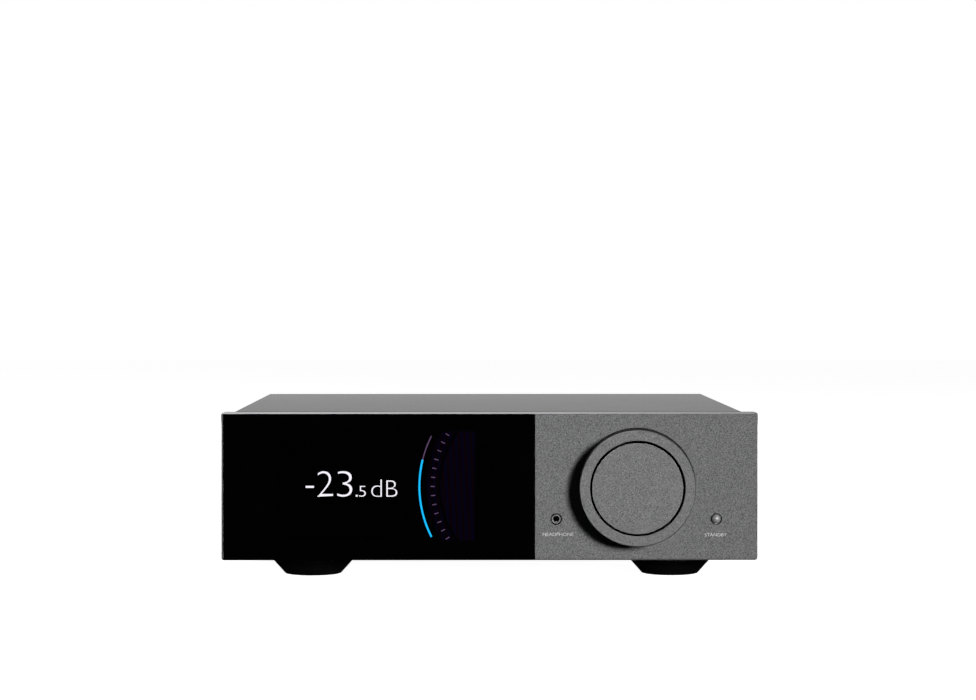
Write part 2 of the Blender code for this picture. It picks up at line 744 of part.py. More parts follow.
def on_board(x, y, top):
    """The limits of a component that is part of its board."""
    return (x, y, (BOARD_BOTTOM + BOARD / 2, top))


def power_supply_board():
    parts = boxes(
        [
            on_board((-0.158, -0.142), (0.026, 0.0377), 0.0400),
            on_board((-0.172, -0.150), (-0.124, -0.104), 0.0460),
            on_board((-0.056, -0.044), (0.005, 0.030), 0.0380),
        ]
    )
    make_part("power_supply_board", CIRCUIT_BOARD, board_plate("power_supply_board"), add=[parts])


def supply_transformer():
    middle = (-0.110, -0.050)
    core = box(about(middle[0], 0.022), about(middle[1], 0.009), (ON_BOARD, ON_BOARD + 0.038))
    windings = cylinder("Z", middle, 0.0175, (ON_BOARD + 0.006, ON_BOARD + 0.032), 20)
    make_part("supply_transformer", WINDING, core, add=[windings])


def supply_capacitor():
    top, radius, crimp = ON_BOARD + 0.045, 0.0150, 0.0140
    profile = [
        (0, top),
        (radius, top),
        (radius, ON_BOARD + 0.006),
        (crimp, ON_BOARD + 0.0045),
        (radius, ON_BOARD + 0.003),
        (radius, ON_BOARD),
        (0, ON_BOARD),
    ]
    make_part("supply_capacitor", SLEEVE, turned("Z", (-0.070, -0.095), profile, 20))


def finned(name, x, y, height, fins, floor):
    """A heatsink whose channels run along Y between upright fins."""
    block = box(x, y, (ON_BOARD, ON_BOARD + height))
    pitch = (x[1] - x[0]) / (fins - 0.5)
    long_y = (y[0] - PAST, y[1] + PAST)
    above = (ON_BOARD + floor, ON_BOARD + height + PAST)
    first = x[0] + 0.75 * pitch
    channels = boxes([(about(first + i * pitch, pitch / 4), long_y, above) for i in range(fins - 1)])
    make_part(name, HEATSINK, block, cut=[channels])


def heatsinks():
    finned("supply_heatsink", (-0.175, -0.145), (-0.080, -0.010), 0.035, 4, 0.004)
    finned("amplifier_heatsink", (0.125, 0.175), (-0.080, 0.050), 0.040, 6, 0.008)


def amplifier_board():
    parts = boxes(
        [
            on_board((0.097, 0.117), (-0.060, -0.030), 0.0300),
            on_board((0.097, 0.117), (0.000, 0.030), 0.0300),
            on_board((0.108, 0.168), (0.136, 0.146), 0.0360),
        ]
    )
    make_part("amplifier_board", CIRCUIT_BOARD, board_plate("amplifier_board"), add=[parts])


def output_chokes():
    for side, x in (("left", 0.118), ("right", 0.158)):
        flange, waist, height = 0.0130, 0.0115, 0.020
        profile = [
            (0, ON_BOARD + height),
            (flange, ON_BOARD + height),
            (flange, ON_BOARD + height - 0.003),
            (waist, ON_BOARD + height - 0.003),
            (waist, ON_BOARD + 0.003),
            (flange, ON_BOARD + 0.003),
            (flange, ON_BOARD),
            (0, ON_BOARD),
        ]
        make_part(f"output_choke_{side}", WINDING, turned("Z", (x, 0.100), profile, 20))


def main_board():
    parts = boxes(
        [
            on_board((-0.100, -0.080), (0.080, 0.100), 0.0285),
            on_board((-0.060, -0.045), (0.085, 0.100), 0.0285),
            on_board((0.045, 0.075), (0.070, 0.080), 0.0360),
        ]
    )
    make_part("main_board", CIRCUIT_BOARD, board_plate("main_board"), add=[parts])


def mains_lead():
    """The lead from the power switch's back, down and forwards to the power supply board."""
    lead = 0.003
    start = Vector((SWITCH[0], REAR_INNER - 0.0138, SWITCH[1]))
    end = Vector((SWITCH[0], 0.038, 0.0345))
    controls = [start, start - Vector((0, 0.050, 0)), end + Vector((0, 0.055, 0)), end]
    steps = 16
    points = []
    for i in range(steps + 1):
        t = i / steps
        weights = ((1 - t) ** 3, 3 * t * (1 - t) ** 2, 3 * t**2 * (1 - t), t**3)
        points.append(sum((w * c for w, c in zip(weights, controls)), Vector()))
    make_part("mains_lead", CABLE, tube_along(points, lead))


# Rear connectors


FLANGE_OUT = REAR_Y + 0.0025


def mains_inlet():
    """A recessed inlet with three flat pins, snapped into the rear panel."""
    x, z = INLET
    body = box(about(x, 0.0135), (REAR_INNER - 0.020, FLANGE_OUT), about(z, 0.0099))
    flange = box(about(x, 0.0155), (REAR_Y + GAP, FLANGE_OUT), about(z, 0.0122))
    floor = FLANGE_OUT - 0.018
    recess = box(about(x, 0.0120), (floor, FLANGE_OUT + PAST), about(z, 0.0082))
    pins = boxes(
        [
            (about(x - 0.0070, 0.0010), (floor - 0.002, floor + 0.0125), about(z - 0.0020, 0.0020)),
            (about(x + 0.0070, 0.0010), (floor - 0.002, floor + 0.0125), about(z - 0.0020, 0.0020)),
            (about(x, 0.0010), (floor - 0.002, floor + 0.0125), about(z + 0.0020, 0.0020)),
        ]
    )
    inlet = make_part("mains_inlet", BLACK_PLASTIC, flange, add=[body], cut=[recess])
    boolean(inlet, pins, "UNION")


def power_switch_frame():
    x, z = SWITCH
    flange = box(about(x, 0.0090), (REAR_Y + GAP, FLANGE_OUT), about(z, 0.0125))
    body = box(about(x, 0.0070), (REAR_INNER - 0.0135, FLANGE_OUT - 0.001), about(z, 0.0105))
    well = box(about(x, 0.0055), (REAR_INNER - 0.0100, FLANGE_OUT + PAST), about(z, 0.0092))
    make_part("power_switch_frame", BLACK_PLASTIC, flange, add=[body], cut=[well])


ROCKER_TILT = radians(11)
ROCKER_PIVOT_Y = FLANGE_OUT - 0.0055


def power_rocker():
    """A rocker with a shallow V across its face, resting with its upper end pressed in."""
    x, z = SWITCH
    end, low, high, middle = 0.0078, -0.0030, 0.0045, 0.0030
    outline = [(-end, low), (end, low), (end, high), (0.0, middle), (-end, high)]
    half_width = 0.0051
    work = bmesh.new()
    corners = [work.verts.new((-half_width, out, up)) for up, out in outline]
    side = work.faces.new(corners)
    grown = bmesh.ops.extrude_face_region(work, geom=[side])["geom"]
    moved = [item for item in grown if isinstance(item, bmesh.types.BMVert)]
    bmesh.ops.translate(work, verts=moved, vec=(2 * half_width, 0, 0))
    bmesh.ops.recalc_face_normals(work, faces=work.faces)
    bmesh.ops.rotate(work, verts=work.verts, matrix=Matrix.Rotation(ROCKER_TILT, 3, "X"))
    mesh = bpy.data.meshes.new("rocker")
    work.to_mesh(mesh)
    work.free()
    rocker = make_part("power_rocker", BLACK_PLASTIC, new_shape(mesh))
    rocker.location = (x, ROCKER_PIVOT_Y, z)


def board_socket(name, material, x, half_width, top, depth, reach, cavity, tongue=None):
    """A socket on the main board's rear edge, open towards the rear."""
    out = REAR_Y + reach
    body = box(about(x, half_width), (out - depth, out), (ON_BOARD, top))
    cavity_half, cavity_z, cavity_depth = cavity
    hollow = box(about(x, cavity_half), (out - cavity_depth, out + PAST), cavity_z)
    socket = make_part(name, material, body, cut=[hollow])
    if tongue:
        tongue_half, tongue_z, tongue_depth = tongue
        start = out - cavity_depth - 0.001
        boolean(socket, box(about(x, tongue_half), (start, start + tongue_depth), tongue_z), "UNION")


def network_socket():
    cavity = (0.0060, (0.0290, 0.0375), 0.014)
    board_socket("network_socket", PLATED_STEEL, NETWORK_X, 0.0080, 0.0402, 0.021, 0.001, cavity)


def usb_socket():
    cavity = (0.0061, (0.0275, 0.0329), 0.010)
    tongue = (0.0055, (0.0302, 0.0320), 0.0090)
    board_socket("usb_socket", PLATED_STEEL, USB_X, 0.0066, 0.0337, 0.014, 0.001, cavity, tongue)


def hdmi_socket():
    cavity = (0.0070, (0.0277, 0.0322), 0.009)
    tongue = (0.0055, (0.0293, 0.0303), 0.0080)
    board_socket("hdmi_socket", PLATED_STEEL, HDMI_X, 0.0075, 0.0332, 0.012, 0.001, cavity, tongue)


OPTICAL_CAVITY_HALF = 0.0041
OPTICAL_CAVITY_Z = (0.0285, 0.0367)
SHUTTER_HINGE = (REAR_Y + 0.0010, 0.0362)


def optical_socket():
    cavity = (OPTICAL_CAVITY_HALF, OPTICAL_CAVITY_Z, 0.012)
    board_socket("optical_socket", BLACK_PLASTIC, OPTICAL_X, 0.0050, 0.0382, 0.0165, 0.002, cavity)


def optical_shutter():
    """A thin flap in the mouth of the optical socket, hinged along its top edge."""
    hinge_y, hinge_z = SHUTTER_HINGE
    x = about(OPTICAL_X, OPTICAL_CAVITY_HALF - GAP)
    flap = box(x, about(hinge_y, 0.0003), (OPTICAL_CAVITY_Z[0] + GAP, hinge_z + 0.0001))
    set_origin(flap, (OPTICAL_X, hinge_y, hinge_z))
    make_part("optical_shutter", BLACK_PLASTIC, flap)


RCA_RADIUS = 0.0042


def rca_block(name, x, centres):
    """Phono jacks: barrels that stand out through the rear panel, on one block inside it."""
    block = box(x, (REAR_INNER - 0.012, REAR_INNER - GAP), (ON_BOARD, 0.0600))
    out = REAR_Y + 0.0095
    barrels = cylinders("Y", centres, RCA_RADIUS, (REAR_INNER - 0.002, out))
    sockets = cylinders("Y", centres, 0.0017, (out - 0.009, out + PAST), 12)
    make_part(name, GOLD_PLATE, block, add=[barrels], cut=[sockets])


def rca_jacks():
    rca_block("coax_jacks", about(COAX_X, 0.0075), [(COAX_X, z) for z in RCA_ROWS])
    centres = [(x, z) for x in LINE_COLUMNS for z in RCA_ROWS]
    rca_block("line_jacks", (LINE_COLUMNS[0] - 0.008, LINE_COLUMNS[-1] + 0.008), centres)


# Speaker terminals: studs on a base, with a washer and a screw cap on each stud


TERMINAL_BASE_OUT = REAR_Y + 0.0033
COLLAR_OUT = REAR_Y + 0.0059
STUD_OUT = REAR_Y + TERMINAL_REACH - 0.0005
STUD_RADIUS = 0.0025


def terminal_centres():
    return [(x, z) for x in TERMINAL_COLUMNS.values() for z in TERMINAL_ROWS.values()]


def speaker_terminals():
    for side, x in TERMINAL_COLUMNS.items():
        centres = [(x, z) for z in TERMINAL_ROWS.values()]
        plate = box(about(x, 0.012), (REAR_Y + GAP, TERMINAL_BASE_OUT), (0.042, 0.098))
        collars = cylinders("Y", centres, 0.0062, (TERMINAL_BASE_OUT - 0.001, COLLAR_OUT))
        studs = cylinders("Y", centres, STUD_RADIUS, (REAR_INNER - 0.011, STUD_OUT), 12)
        bosses = cylinders("Y", centres, 0.0040, (REAR_INNER - 0.003, REAR_Y + 0.001), 12)
        make_part(f"speaker_terminal_{side}", CLEAR_PLASTIC, plate, add=[collars, bosses, studs])


def terminal_caps():
    bore = STUD_RADIUS + GAP
    washer_span = (COLLAR_OUT + GAP, COLLAR_OUT + GAP + 0.0015)
    cap_in, cap_out = washer_span[1] + GAP, REAR_Y + TERMINAL_REACH
    grip, nose, chamfer = 0.0074, 0.0055, 0.0010
    profile = [
        (nose, cap_out),
        (grip, cap_out - chamfer),
        (grip, cap_in + chamfer),
        (nose, cap_in),
        (bore, cap_in),
        (bore, cap_out),
    ]
    for side, x in TERMINAL_COLUMNS.items():
        for row, z in TERMINAL_ROWS.items():
            washer = ring("Y", (x, z), 0.0062, bore, washer_span, AROUND_SMALL)
            make_part(f"terminal_washer_{side}_{row}", GOLD_PLATE, washer)
            cap = turned("Y", (x, z), profile, 18, closed=True)
            make_part(f"terminal_cap_{side}_{row}", CLEAR_PLASTIC, cap)


def build():
    front_panel()
    display_glass()
    lcd_module()
    display_pad()
    display_bracket()
    display_board()
    display_ribbon_cable()
    headphone_jack()
    control_board()
    standby_switch()
    standby_button()
    volume_ring()
    select_disc()
    select_plunger()
    select_spring()
    knob_shaft()
    knob_circlip()
    encoder_wheel()
    bearing_housing()
    shaft_bushing()
    encoder_board()
    encoder_sensor()
    chassis_base()
    top_cover()
    rear_panel()
    socket_plate()
    feet()
    power_supply_board()
    supply_transformer()
    supply_capacitor()
    heatsinks()
    amplifier_board()
    output_chokes()
    main_board()
    mains_lead()
    mains_inlet()
    power_switch_frame()
    power_rocker()
    network_socket()
    usb_socket()
    hdmi_socket()
    optical_socket()
    optical_shutter()
    rca_jacks()
    speaker_terminals()
    terminal_caps()


build()
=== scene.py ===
"""The looks of the desktop DAC and amplifier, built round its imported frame.

Metres, +Z up, the front at -Y. Places come from the frame's own nodes.
"""

import json
from math import cos, pi, radians, sin, tau

import bmesh
import bpy
from mathutils import Matrix, Vector


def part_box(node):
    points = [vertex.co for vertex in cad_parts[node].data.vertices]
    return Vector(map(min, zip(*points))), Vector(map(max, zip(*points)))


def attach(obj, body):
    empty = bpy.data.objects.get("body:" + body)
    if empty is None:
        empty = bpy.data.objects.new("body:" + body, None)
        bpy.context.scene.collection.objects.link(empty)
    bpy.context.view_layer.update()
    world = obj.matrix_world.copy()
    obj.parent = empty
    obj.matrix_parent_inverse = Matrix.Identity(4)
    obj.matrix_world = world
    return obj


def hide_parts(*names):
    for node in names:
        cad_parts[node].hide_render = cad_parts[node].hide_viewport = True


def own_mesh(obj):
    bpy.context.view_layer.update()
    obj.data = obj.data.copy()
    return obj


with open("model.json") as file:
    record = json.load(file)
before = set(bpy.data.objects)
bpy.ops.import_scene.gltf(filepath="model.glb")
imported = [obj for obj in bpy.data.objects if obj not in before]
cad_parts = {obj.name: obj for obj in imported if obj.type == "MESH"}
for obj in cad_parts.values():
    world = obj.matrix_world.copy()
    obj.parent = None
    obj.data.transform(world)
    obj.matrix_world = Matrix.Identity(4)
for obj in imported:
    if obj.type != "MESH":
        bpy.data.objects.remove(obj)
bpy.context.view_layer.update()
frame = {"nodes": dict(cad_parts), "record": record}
NODES = frame["nodes"]
MM = 0.001


# ---------------------------------------------------------------- places from the frame


def middle(node):
    low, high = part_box(node)
    return (low + high) / 2


PANEL_LOW, PANEL_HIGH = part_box("front_panel")
FACE_Y = PANEL_LOW.y
COVER_LOW, COVER_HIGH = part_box("top_cover")
COVER_LEFT, COVER_RIGHT = COVER_LOW.x - 1.5 * MM, COVER_HIGH.x - 0.5 * MM
REAR_LOW, REAR_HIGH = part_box("rear_panel")
REAR_Y = REAR_HIGH.y
PRINT_SPAN = (REAR_Y + 0.01 * MM, REAR_Y + 0.04 * MM)
GLASS_LOW, GLASS_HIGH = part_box("display_glass")
PANEL_BOTTOM, PANEL_TOP = PANEL_LOW.z + 0.12 * MM, PANEL_HIGH.z + 0.05 * MM
PANE_LEFT, PANE_RIGHT = GLASS_LOW.x - 0.5 * MM, GLASS_HIGH.x - 0.25 * MM
RING_LOW, RING_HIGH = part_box("volume_ring")
KNOB = middle("volume_ring")
KNOB_RADIUS = (RING_HIGH.x - RING_LOW.x) / 2
KNOB_FRONT = RING_LOW.y
PANE_BOTTOM, PANE_TOP = PANEL_BOTTOM + 0.1 * MM, GLASS_HIGH.z + 0.15 * MM
DISC_RADIUS = (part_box("select_disc")[1].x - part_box("select_disc")[0].x) / 2 + 0.25 * MM
JACK = middle("headphone_jack") + Vector((-0.4 * MM, 0, 0.2 * MM))
STANDBY = middle("standby_button") + Vector((-0.4 * MM, 0, 0.3 * MM))
BASE_Z = COVER_LOW.z


# ---------------------------------------------------------------- mesh helpers


def finished(work, name, sharp=32):
    """A bmesh made into a mesh with its faces pointing out and round parts smooth."""
    bmesh.ops.recalc_face_normals(work, faces=work.faces)
    mesh = bpy.data.meshes.new(name)
    work.to_mesh(mesh)
    work.free()
    mesh.shade_smooth()
    mesh.set_sharp_from_angle(angle=radians(sharp))
    return mesh


def box_mesh(low, high, edge=0.0, steps=2):
    """A box between two corners, with its edges rounded."""
    low, high = Vector(low), Vector(high)
    work = bmesh.new()
    place = Matrix.Translation((low + high) / 2) @ Matrix.Diagonal((*(high - low), 1.0))
    bmesh.ops.create_cube(work, size=1.0, matrix=place)
    if edge:
        bmesh.ops.bevel(
            work,
            geom=work.edges[:],
            offset=edge,
            segments=steps,
            profile=0.5,
            affect="EDGES",
            clamp_overlap=True,
        )
    return finished(work, "box")


def join_rings(work, pairs, around):
    """Faces between each pair of rings of points. A ring may be a single point."""
    for first, second in pairs:
        for i in range(around):
            a, b = first[i % len(first)], first[(i + 1) % len(first)]
            c, d = second[(i + 1) % len(second)], second[i % len(second)]
            corners = [v for k, v in enumerate((a, b, c, d)) if v not in (a, b, c, d)[:k]]
            if len(corners) > 2:
                work.faces.new(corners)


def tube(inner, outer, start, end):
    """The profile of a plain tube for lathe_mesh, or of a solid plug when inner is 0."""
    return [(inner, start), (outer, start), (outer, end), (inner, end)]


def lathe_mesh(axis, centre, profile, around=96, closed=False):
    """A turned solid about a line along Y or Z. The profile is (radius, place along the axis) points."""
    work = bmesh.new()
    rings = []
    for radius, along in profile:
        if radius == 0:
            spots = [(0.0, 0.0)]
        else:
            spots = [
                (radius * cos(tau * i / around), radius * sin(tau * i / around)) for i in range(around)
            ]
        if axis == "Y":
            points = [(centre.x + a, along, centre.z + b) for a, b in spots]
        else:
            points = [(centre.x + a, centre.y + b, along) for a, b in spots]
        rings.append([work.verts.new(point) for point in points])
    pairs = list(zip(rings, rings[1:]))
    if closed:
        pairs.append((rings[-1], rings[0]))
    join_rings(work, pairs, around)
    return finished(work, "lathe")


def prism_mesh(outline, axis, span, name="prism"):
    """A flat outline pushed along an axis: (x, z) points along Y, (y, z) along X, (x, y) along Z."""
    place = {
        "X": lambda p, along: (along, p[0], p[1]),
        "Y": lambda p, along: (p[0], along, p[1]),
        "Z": lambda p, along: (p[0], p[1], along),
    }[axis]
    work = bmesh.new()
    first = [work.verts.new(place(p, span[0])) for p in outline]
    second = [work.verts.new(place(p, span[1])) for p in outline]
    work.faces.new(first)
    work.faces.new(second)
    for i in range(len(outline)):
        j = (i + 1) % len(outline)
        work.faces.new((first[i], first[j], second[j], second[i]))
    return finished(work, name)


def arc_points(centre, radius, start, end, steps):
    """Points round an arc, with its angles in degrees from +X towards the second axis."""
    angles = [radians(start + (end - start) * i / steps) for i in range(steps + 1)]
    return [(centre[0] + radius * cos(a), centre[1] + radius * sin(a)) for a in angles]


def rounded_outline(low, high, lower, upper, steps=5):
    """A rectangle's outline, with one radius for its lower corners and one for its upper corners."""
    (x0, z0), (x1, z1) = low, high
    corners = [
        ((x1 - lower, z0 + lower), lower, -90),
        ((x1 - upper, z1 - upper), upper, 0),
        ((x0 + upper, z1 - upper), upper, 90),
        ((x0 + lower, z0 + lower), lower, 180),
    ]
    return [
        p for centre, radius, start in corners for p in arc_points(centre, radius, start, start + 90, steps)
    ]


def ring_sector(centre, radius, width, start, end, steps):
    """The outline of a curved stripe, round a centre, between two angles."""
    outer = arc_points(centre, radius + width / 2, start, end, steps)
    inner = arc_points(centre, radius - width / 2, end, start, steps)
    return outer + inner


def evaluated_mesh(obj):
    graph = bpy.context.evaluated_depsgraph_get()
    mesh = bpy.data.meshes.new_from_object(obj.evaluated_get(graph))
    bpy.data.objects.remove(obj)
    return mesh


def loose(mesh):
    made = bpy.data.objects.new("working", mesh)
    bpy.context.scene.collection.objects.link(made)
    return made


def carved(mesh, cutters, sharp=32, operation="DIFFERENCE"):
    """The mesh with these other meshes cut from it, or joined to it."""
    base = loose(mesh)
    others = [loose(cutter) for cutter in cutters]
    for other in others:
        modifier = base.modifiers.new("cut", "BOOLEAN")
        modifier.operation = operation
        modifier.solver = "EXACT"
        modifier.object = other
    made = evaluated_mesh(base)
    for other in others:
        bpy.data.objects.remove(other)
    made.shade_smooth()
    made.set_sharp_from_angle(angle=radians(sharp))
    return made


def joined(meshes):
    """Separate closed shapes as one mesh."""
    work = bmesh.new()
    for mesh in meshes:
        work.from_mesh(mesh)
        bpy.data.meshes.remove(mesh)
    return finished(work, "joined")


def piece(name, mesh, look, body, replaces=()):
    """A finished piece that rides on a body, and may stand for CAD nodes."""
    made = bpy.data.objects.new(name, mesh)
    bpy.context.scene.collection.objects.link(made)
    looks = look if isinstance(look, (list, tuple)) else [look]
    mesh.materials.clear()
    for material in looks:
        mesh.materials.append(material)
    made.modifiers.new("even shading", "WEIGHTED_NORMAL").keep_sharp = True
    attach(made, body)
    if replaces:
        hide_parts(*replaces)
    return made


def paint_faces(obj, index, chosen):
    """Gives the faces that chosen(centre, normal) picks another of the piece's materials."""
    for face in obj.data.polygons:
        if chosen(face.center, face.normal):
            face.material_index = index


# ---------------------------------------------------------------- materials


def node(tree, kind, **inputs):
    """A shader node, with its inputs set by name or, for a name such as i0, by number."""
    made = tree.nodes.new(kind)
    for key, value in inputs.items():
        if key.startswith("i") and key[1:].isdigit():
            made.inputs[int(key[1:])].default_value = value
        else:
            made.inputs[key.replace("_", " ")].default_value = value
    return made


def noise(tree, size, detail=2.0, roughness=0.5, stretch=(1, 1, 1)):
    """Noise whose features are about this many metres across, in the object's own coordinates."""
    place = tree.nodes.new("ShaderNodeTexCoord")
    scale = node(
        tree,
        "ShaderNodeMapping",
        Rotation=(0.6, 0.8, 0.4) if stretch == (1, 1, 1) else (0, 0, 0),
        Scale=stretch,
    )
    made = node(tree, "ShaderNodeTexNoise", Scale=1.0 / size, Detail=detail, Roughness=roughness)
    tree.links.new(place.outputs["Object"], scale.inputs["Vector"])
    tree.links.new(scale.outputs["Vector"], made.inputs["Vector"])
    return made.outputs["Fac"]


def ranged(tree, value, low, high, start=0.3, end=0.7):
    """A value between start and end, spread over low to high."""
    made = tree.nodes.new("ShaderNodeMapRange")
    made.inputs["From Min"].default_value = start
    made.inputs["From Max"].default_value = end
    made.inputs["To Min"].default_value = low
    made.inputs["To Max"].default_value = high
    tree.links.new(value, made.inputs["Value"])
    return made.outputs["Result"]


def mixed(tree, factor, first, second, blend="MIX"):
    """Two colours mixed. Each is a plain colour or another node's output."""
    made = tree.nodes.new("ShaderNodeMix")
    made.data_type = "RGBA"
    made.blend_type = blend
    if isinstance(factor, float):
        made.inputs[0].default_value = factor
    else:
        tree.links.new(factor, made.inputs[0])
    for socket, colour in ((6, first), (7, second)):
        if isinstance(colour, tuple):
            made.inputs[socket].default_value = (*colour, 1.0)
        else:
            tree.links.new(colour, made.inputs[socket])
    return made.outputs[2]


def shaded(colour, by):
    return tuple(channel * by for channel in colour)


def surface(
    name,
    colour,
    contrast,
    grain,
    rough,
    metallic=0.0,
    bump=0.1,
    depth=0.00005,
    specular=0.5,
    stretch=(1, 1, 1),
):
    """A surface with a fine grain, slow patches of tone, uneven gloss and a bump of its own."""
    made = bpy.data.materials.new(name)
    made.use_nodes = True
    tree = made.node_tree
    shader = tree.nodes["Principled BSDF"]
    shader.inputs["Metallic"].default_value = metallic
    shader.inputs["Specular IOR Level"].default_value = specular
    fine = noise(tree, grain, detail=3.0, roughness=0.6, stretch=stretch)
    slow = noise(tree, grain * 40, detail=2.0)
    tone = mixed(
        tree, ranged(tree, fine, 0.0, 1.0), shaded(colour, 1 - contrast), shaded(colour, 1 + contrast)
    )
    patch = mixed(tree, ranged(tree, slow, 0.0, 1.0), (0.985, 0.985, 0.985), (1.015, 1.015, 1.015))
    tree.links.new(mixed(tree, 1.0, tone, patch, "MULTIPLY"), shader.inputs["Base Color"])
    gloss = noise(tree, grain * 6, detail=2.0, stretch=stretch)
    tree.links.new(ranged(tree, gloss, rough[0], rough[1]), shader.inputs["Roughness"])
    lift = node(tree, "ShaderNodeBump", Strength=bump, Distance=depth)
    tree.links.new(fine, lift.inputs["Height"])
    tree.links.new(lift.outputs["Normal"], shader.inputs["Normal"])
    return made


def glowing(name, colour, strength, unevenness=0.08):
    """A lit part of the display, with the slight unevenness of its backlight."""
    made = bpy.data.materials.new(name)
    made.use_nodes = True
    tree = made.node_tree
    shader = tree.nodes["Principled BSDF"]
    shader.inputs["Base Color"].default_value = (0.005, 0.005, 0.006, 1)
    shader.inputs["Roughness"].default_value = 0.3
    shader.inputs["Specular IOR Level"].default_value = 0.1
    shader.inputs["Emission Strength"].default_value = strength
    slow = ranged(tree, noise(tree, 0.004), 0.0, 1.0)
    low, high = shaded(colour, 1 - unevenness), shaded(colour, 1 + unevenness)
    tree.links.new(mixed(tree, slow, low, high), shader.inputs["Emission Color"])
    return made


def screen_look(centre):
    """The dark screen: a faint indigo ring and, inside it, faint upright bands."""
    made = bpy.data.materials.new("screen")
    made.use_nodes = True
    tree = made.node_tree
    shader = tree.nodes["Principled BSDF"]
    shader.inputs["Base Color"].default_value = (0.0003, 0.0003, 0.0004, 1)
    shader.inputs["Specular IOR Level"].default_value = 0.03
    shader.inputs["Emission Strength"].default_value = 1.0
    place = tree.nodes.new("ShaderNodeTexCoord")
    apart = tree.nodes.new("ShaderNodeVectorMath")
    apart.operation = "DISTANCE"
    flat = tree.nodes.new("ShaderNodeVectorMath")
    flat.operation = "MULTIPLY"
    flat.inputs[1].default_value = (1, 0, 1)
    apart.inputs[1].default_value = (centre[0], 0, centre[1])
    tree.links.new(place.outputs["Object"], flat.inputs[0])
    tree.links.new(flat.outputs["Vector"], apart.inputs[0])
    reach = ranged(tree, apart.outputs["Value"], 0.0, 1.0, start=0.0, end=0.100)
    ring = tree.nodes.new("ShaderNodeValToRGB")
    stops = [
        (0.0, 0.55),
        (0.666, 0.75),
        (0.676, 0.0),
        (0.686, 0.0),
        (0.696, 0.6),
        (0.765, 0.5),
        (0.79, 0.0),
    ]
    ramp = ring.color_ramp.elements
    while len(ramp) < len(stops):
        ramp.new(0.5)
    for element, (place_on_ramp, level) in zip(ramp, stops):
        element.position = place_on_ramp
        element.color = (level, level, level, 1)
    tree.links.new(reach, ring.inputs["Fac"])
    bands = tree.nodes.new("ShaderNodeTexWave")
    bands.wave_type = "BANDS"
    bands.bands_direction = "X"
    bands.inputs["Scale"].default_value = 71.0
    bands.inputs["Distortion"].default_value = 0.0
    leaning = tree.nodes.new("ShaderNodeMapping")
    leaning.inputs["Rotation"].default_value = (0, 0.05, 0)
    tree.links.new(place.outputs["Object"], leaning.inputs["Vector"])
    tree.links.new(leaning.outputs["Vector"], bands.inputs["Vector"])
    stripe = mixed(
        tree,
        ranged(tree, bands.outputs["Fac"], 0.0, 1.0, 0.2, 0.8),
        (0.0030, 0.0, 0.0016),
        (0.0013, 0.0006, 0.0080),
    )
    tree.links.new(
        mixed(tree, 1.0, stripe, ring.outputs["Color"], "MULTIPLY"), shader.inputs["Emission Color"]
    )
    tree.links.new(ranged(tree, noise(tree, 0.02), 0.04, 0.09), shader.inputs["Roughness"])
    return made


PANEL_LOOK = surface(
    "blasted_aluminium", (0.124, 0.124, 0.126), 0.68, 0.0009, (0.78, 0.84), 0.25, 0.35, 0.00006
)
# Bright machined metal, and a painted highlight: only the panel's upward top chamfer takes it.
EDGE_LOOK = surface("panel_edge", (0.92, 0.92, 0.93), 0.05, 0.0012, (0.28, 0.36), 1.0, 0.1, 0.00003)
KNOB_LOOK = surface("blasted_knob", (0.168, 0.168, 0.170), 0.55, 0.0009, (0.78, 0.84), 0.55, 0.3, 0.00006)
KNOB_EDGE_LOOK = surface("knob_edge", (0.46, 0.46, 0.46), 0.08, 0.0008, (0.38, 0.46), 1.0, 0.1, 0.00002)
FINE_EDGE_LOOK = surface(
    "knob_fine_edge", (0.26, 0.26, 0.26), 0.08, 0.0008, (0.55, 0.62), 0.6, 0.1, 0.00002
)
# Near black: the knob's dark turned side, and painted shade in the knob's groove, on the select disc's side,
# in the panel's holes and on the ring behind the knob.
DARK_SIDE_AND_SHADE_LOOK = surface(
    "knob_dark_side_and_painted_shade", (0.004, 0.004, 0.004), 0.15, 0.0006, (0.36, 0.46), 0.0, 0.15, 0.00002, 0.10
)
DOME_LOOK = surface("button_dome", (0.29, 0.29, 0.29), 0.10, 0.0006, (0.50, 0.58), 0.45, 0.1, 0.00002, 0.4)
BUTTON_LOOK = surface("button_metal", (0.20, 0.20, 0.20), 0.08, 0.0006, (0.42, 0.50), 0.85, 0.1, 0.00002)
GLASS_LOOK = surface(
    "black_glass_front", (0.0004, 0.0004, 0.0005), 0.3, 0.030, (0.04, 0.08), 0.0, 0.0, 0.00001, 0.03
)
COVER_LOOK = surface(
    "powder_coat", (0.267, 0.267, 0.267), 0.19, 0.0010, (0.64, 0.68), 0.0, 0.08, 0.00005, 0.03
)
REAR_LOOK = surface("rear_paint", (0.045, 0.045, 0.047), 0.12, 0.0007, (0.5, 0.65), 0.0, 0.35, 0.00008, 0.4)
ZINC_LOOK = surface("zinc_plate", (0.50, 0.50, 0.48), 0.10, 0.0050, (0.30, 0.45), 0.9, 0.1, 0.00003)
STEEL_LOOK = surface(
    "turned_steel", (0.56, 0.56, 0.56), 0.06, 0.0010, (0.18, 0.30), 1.0, 0.1, 0.00002, stretch=(1, 8, 1)
)
SCREW_LOOK = surface("black_screw", (0.020, 0.020, 0.021), 0.15, 0.0008, (0.35, 0.5), 0.6, 0.1, 0.00002)
BRONZE_LOOK = surface("sintered_bronze", (0.52, 0.33, 0.16), 0.12, 0.0004, (0.35, 0.5), 1.0, 0.3, 0.00004)
GOLD_LOOK = surface("gold_plating", (0.80, 0.56, 0.22), 0.06, 0.0020, (0.16, 0.26), 1.0, 0.05, 0.00001)
FOOT_LOOK = surface(
    "foot_body", (0.0014, 0.0014, 0.0015), 0.5, 0.0010, (0.45, 0.6), 0.0, 0.25, 0.00004, 0.12
)
RUBBER_LOOK = surface(
    "foot_rubber_pad", (0.014, 0.014, 0.014), 0.25, 0.0006, (0.75, 0.9), 0.0, 0.4, 0.00008, 0.2
)
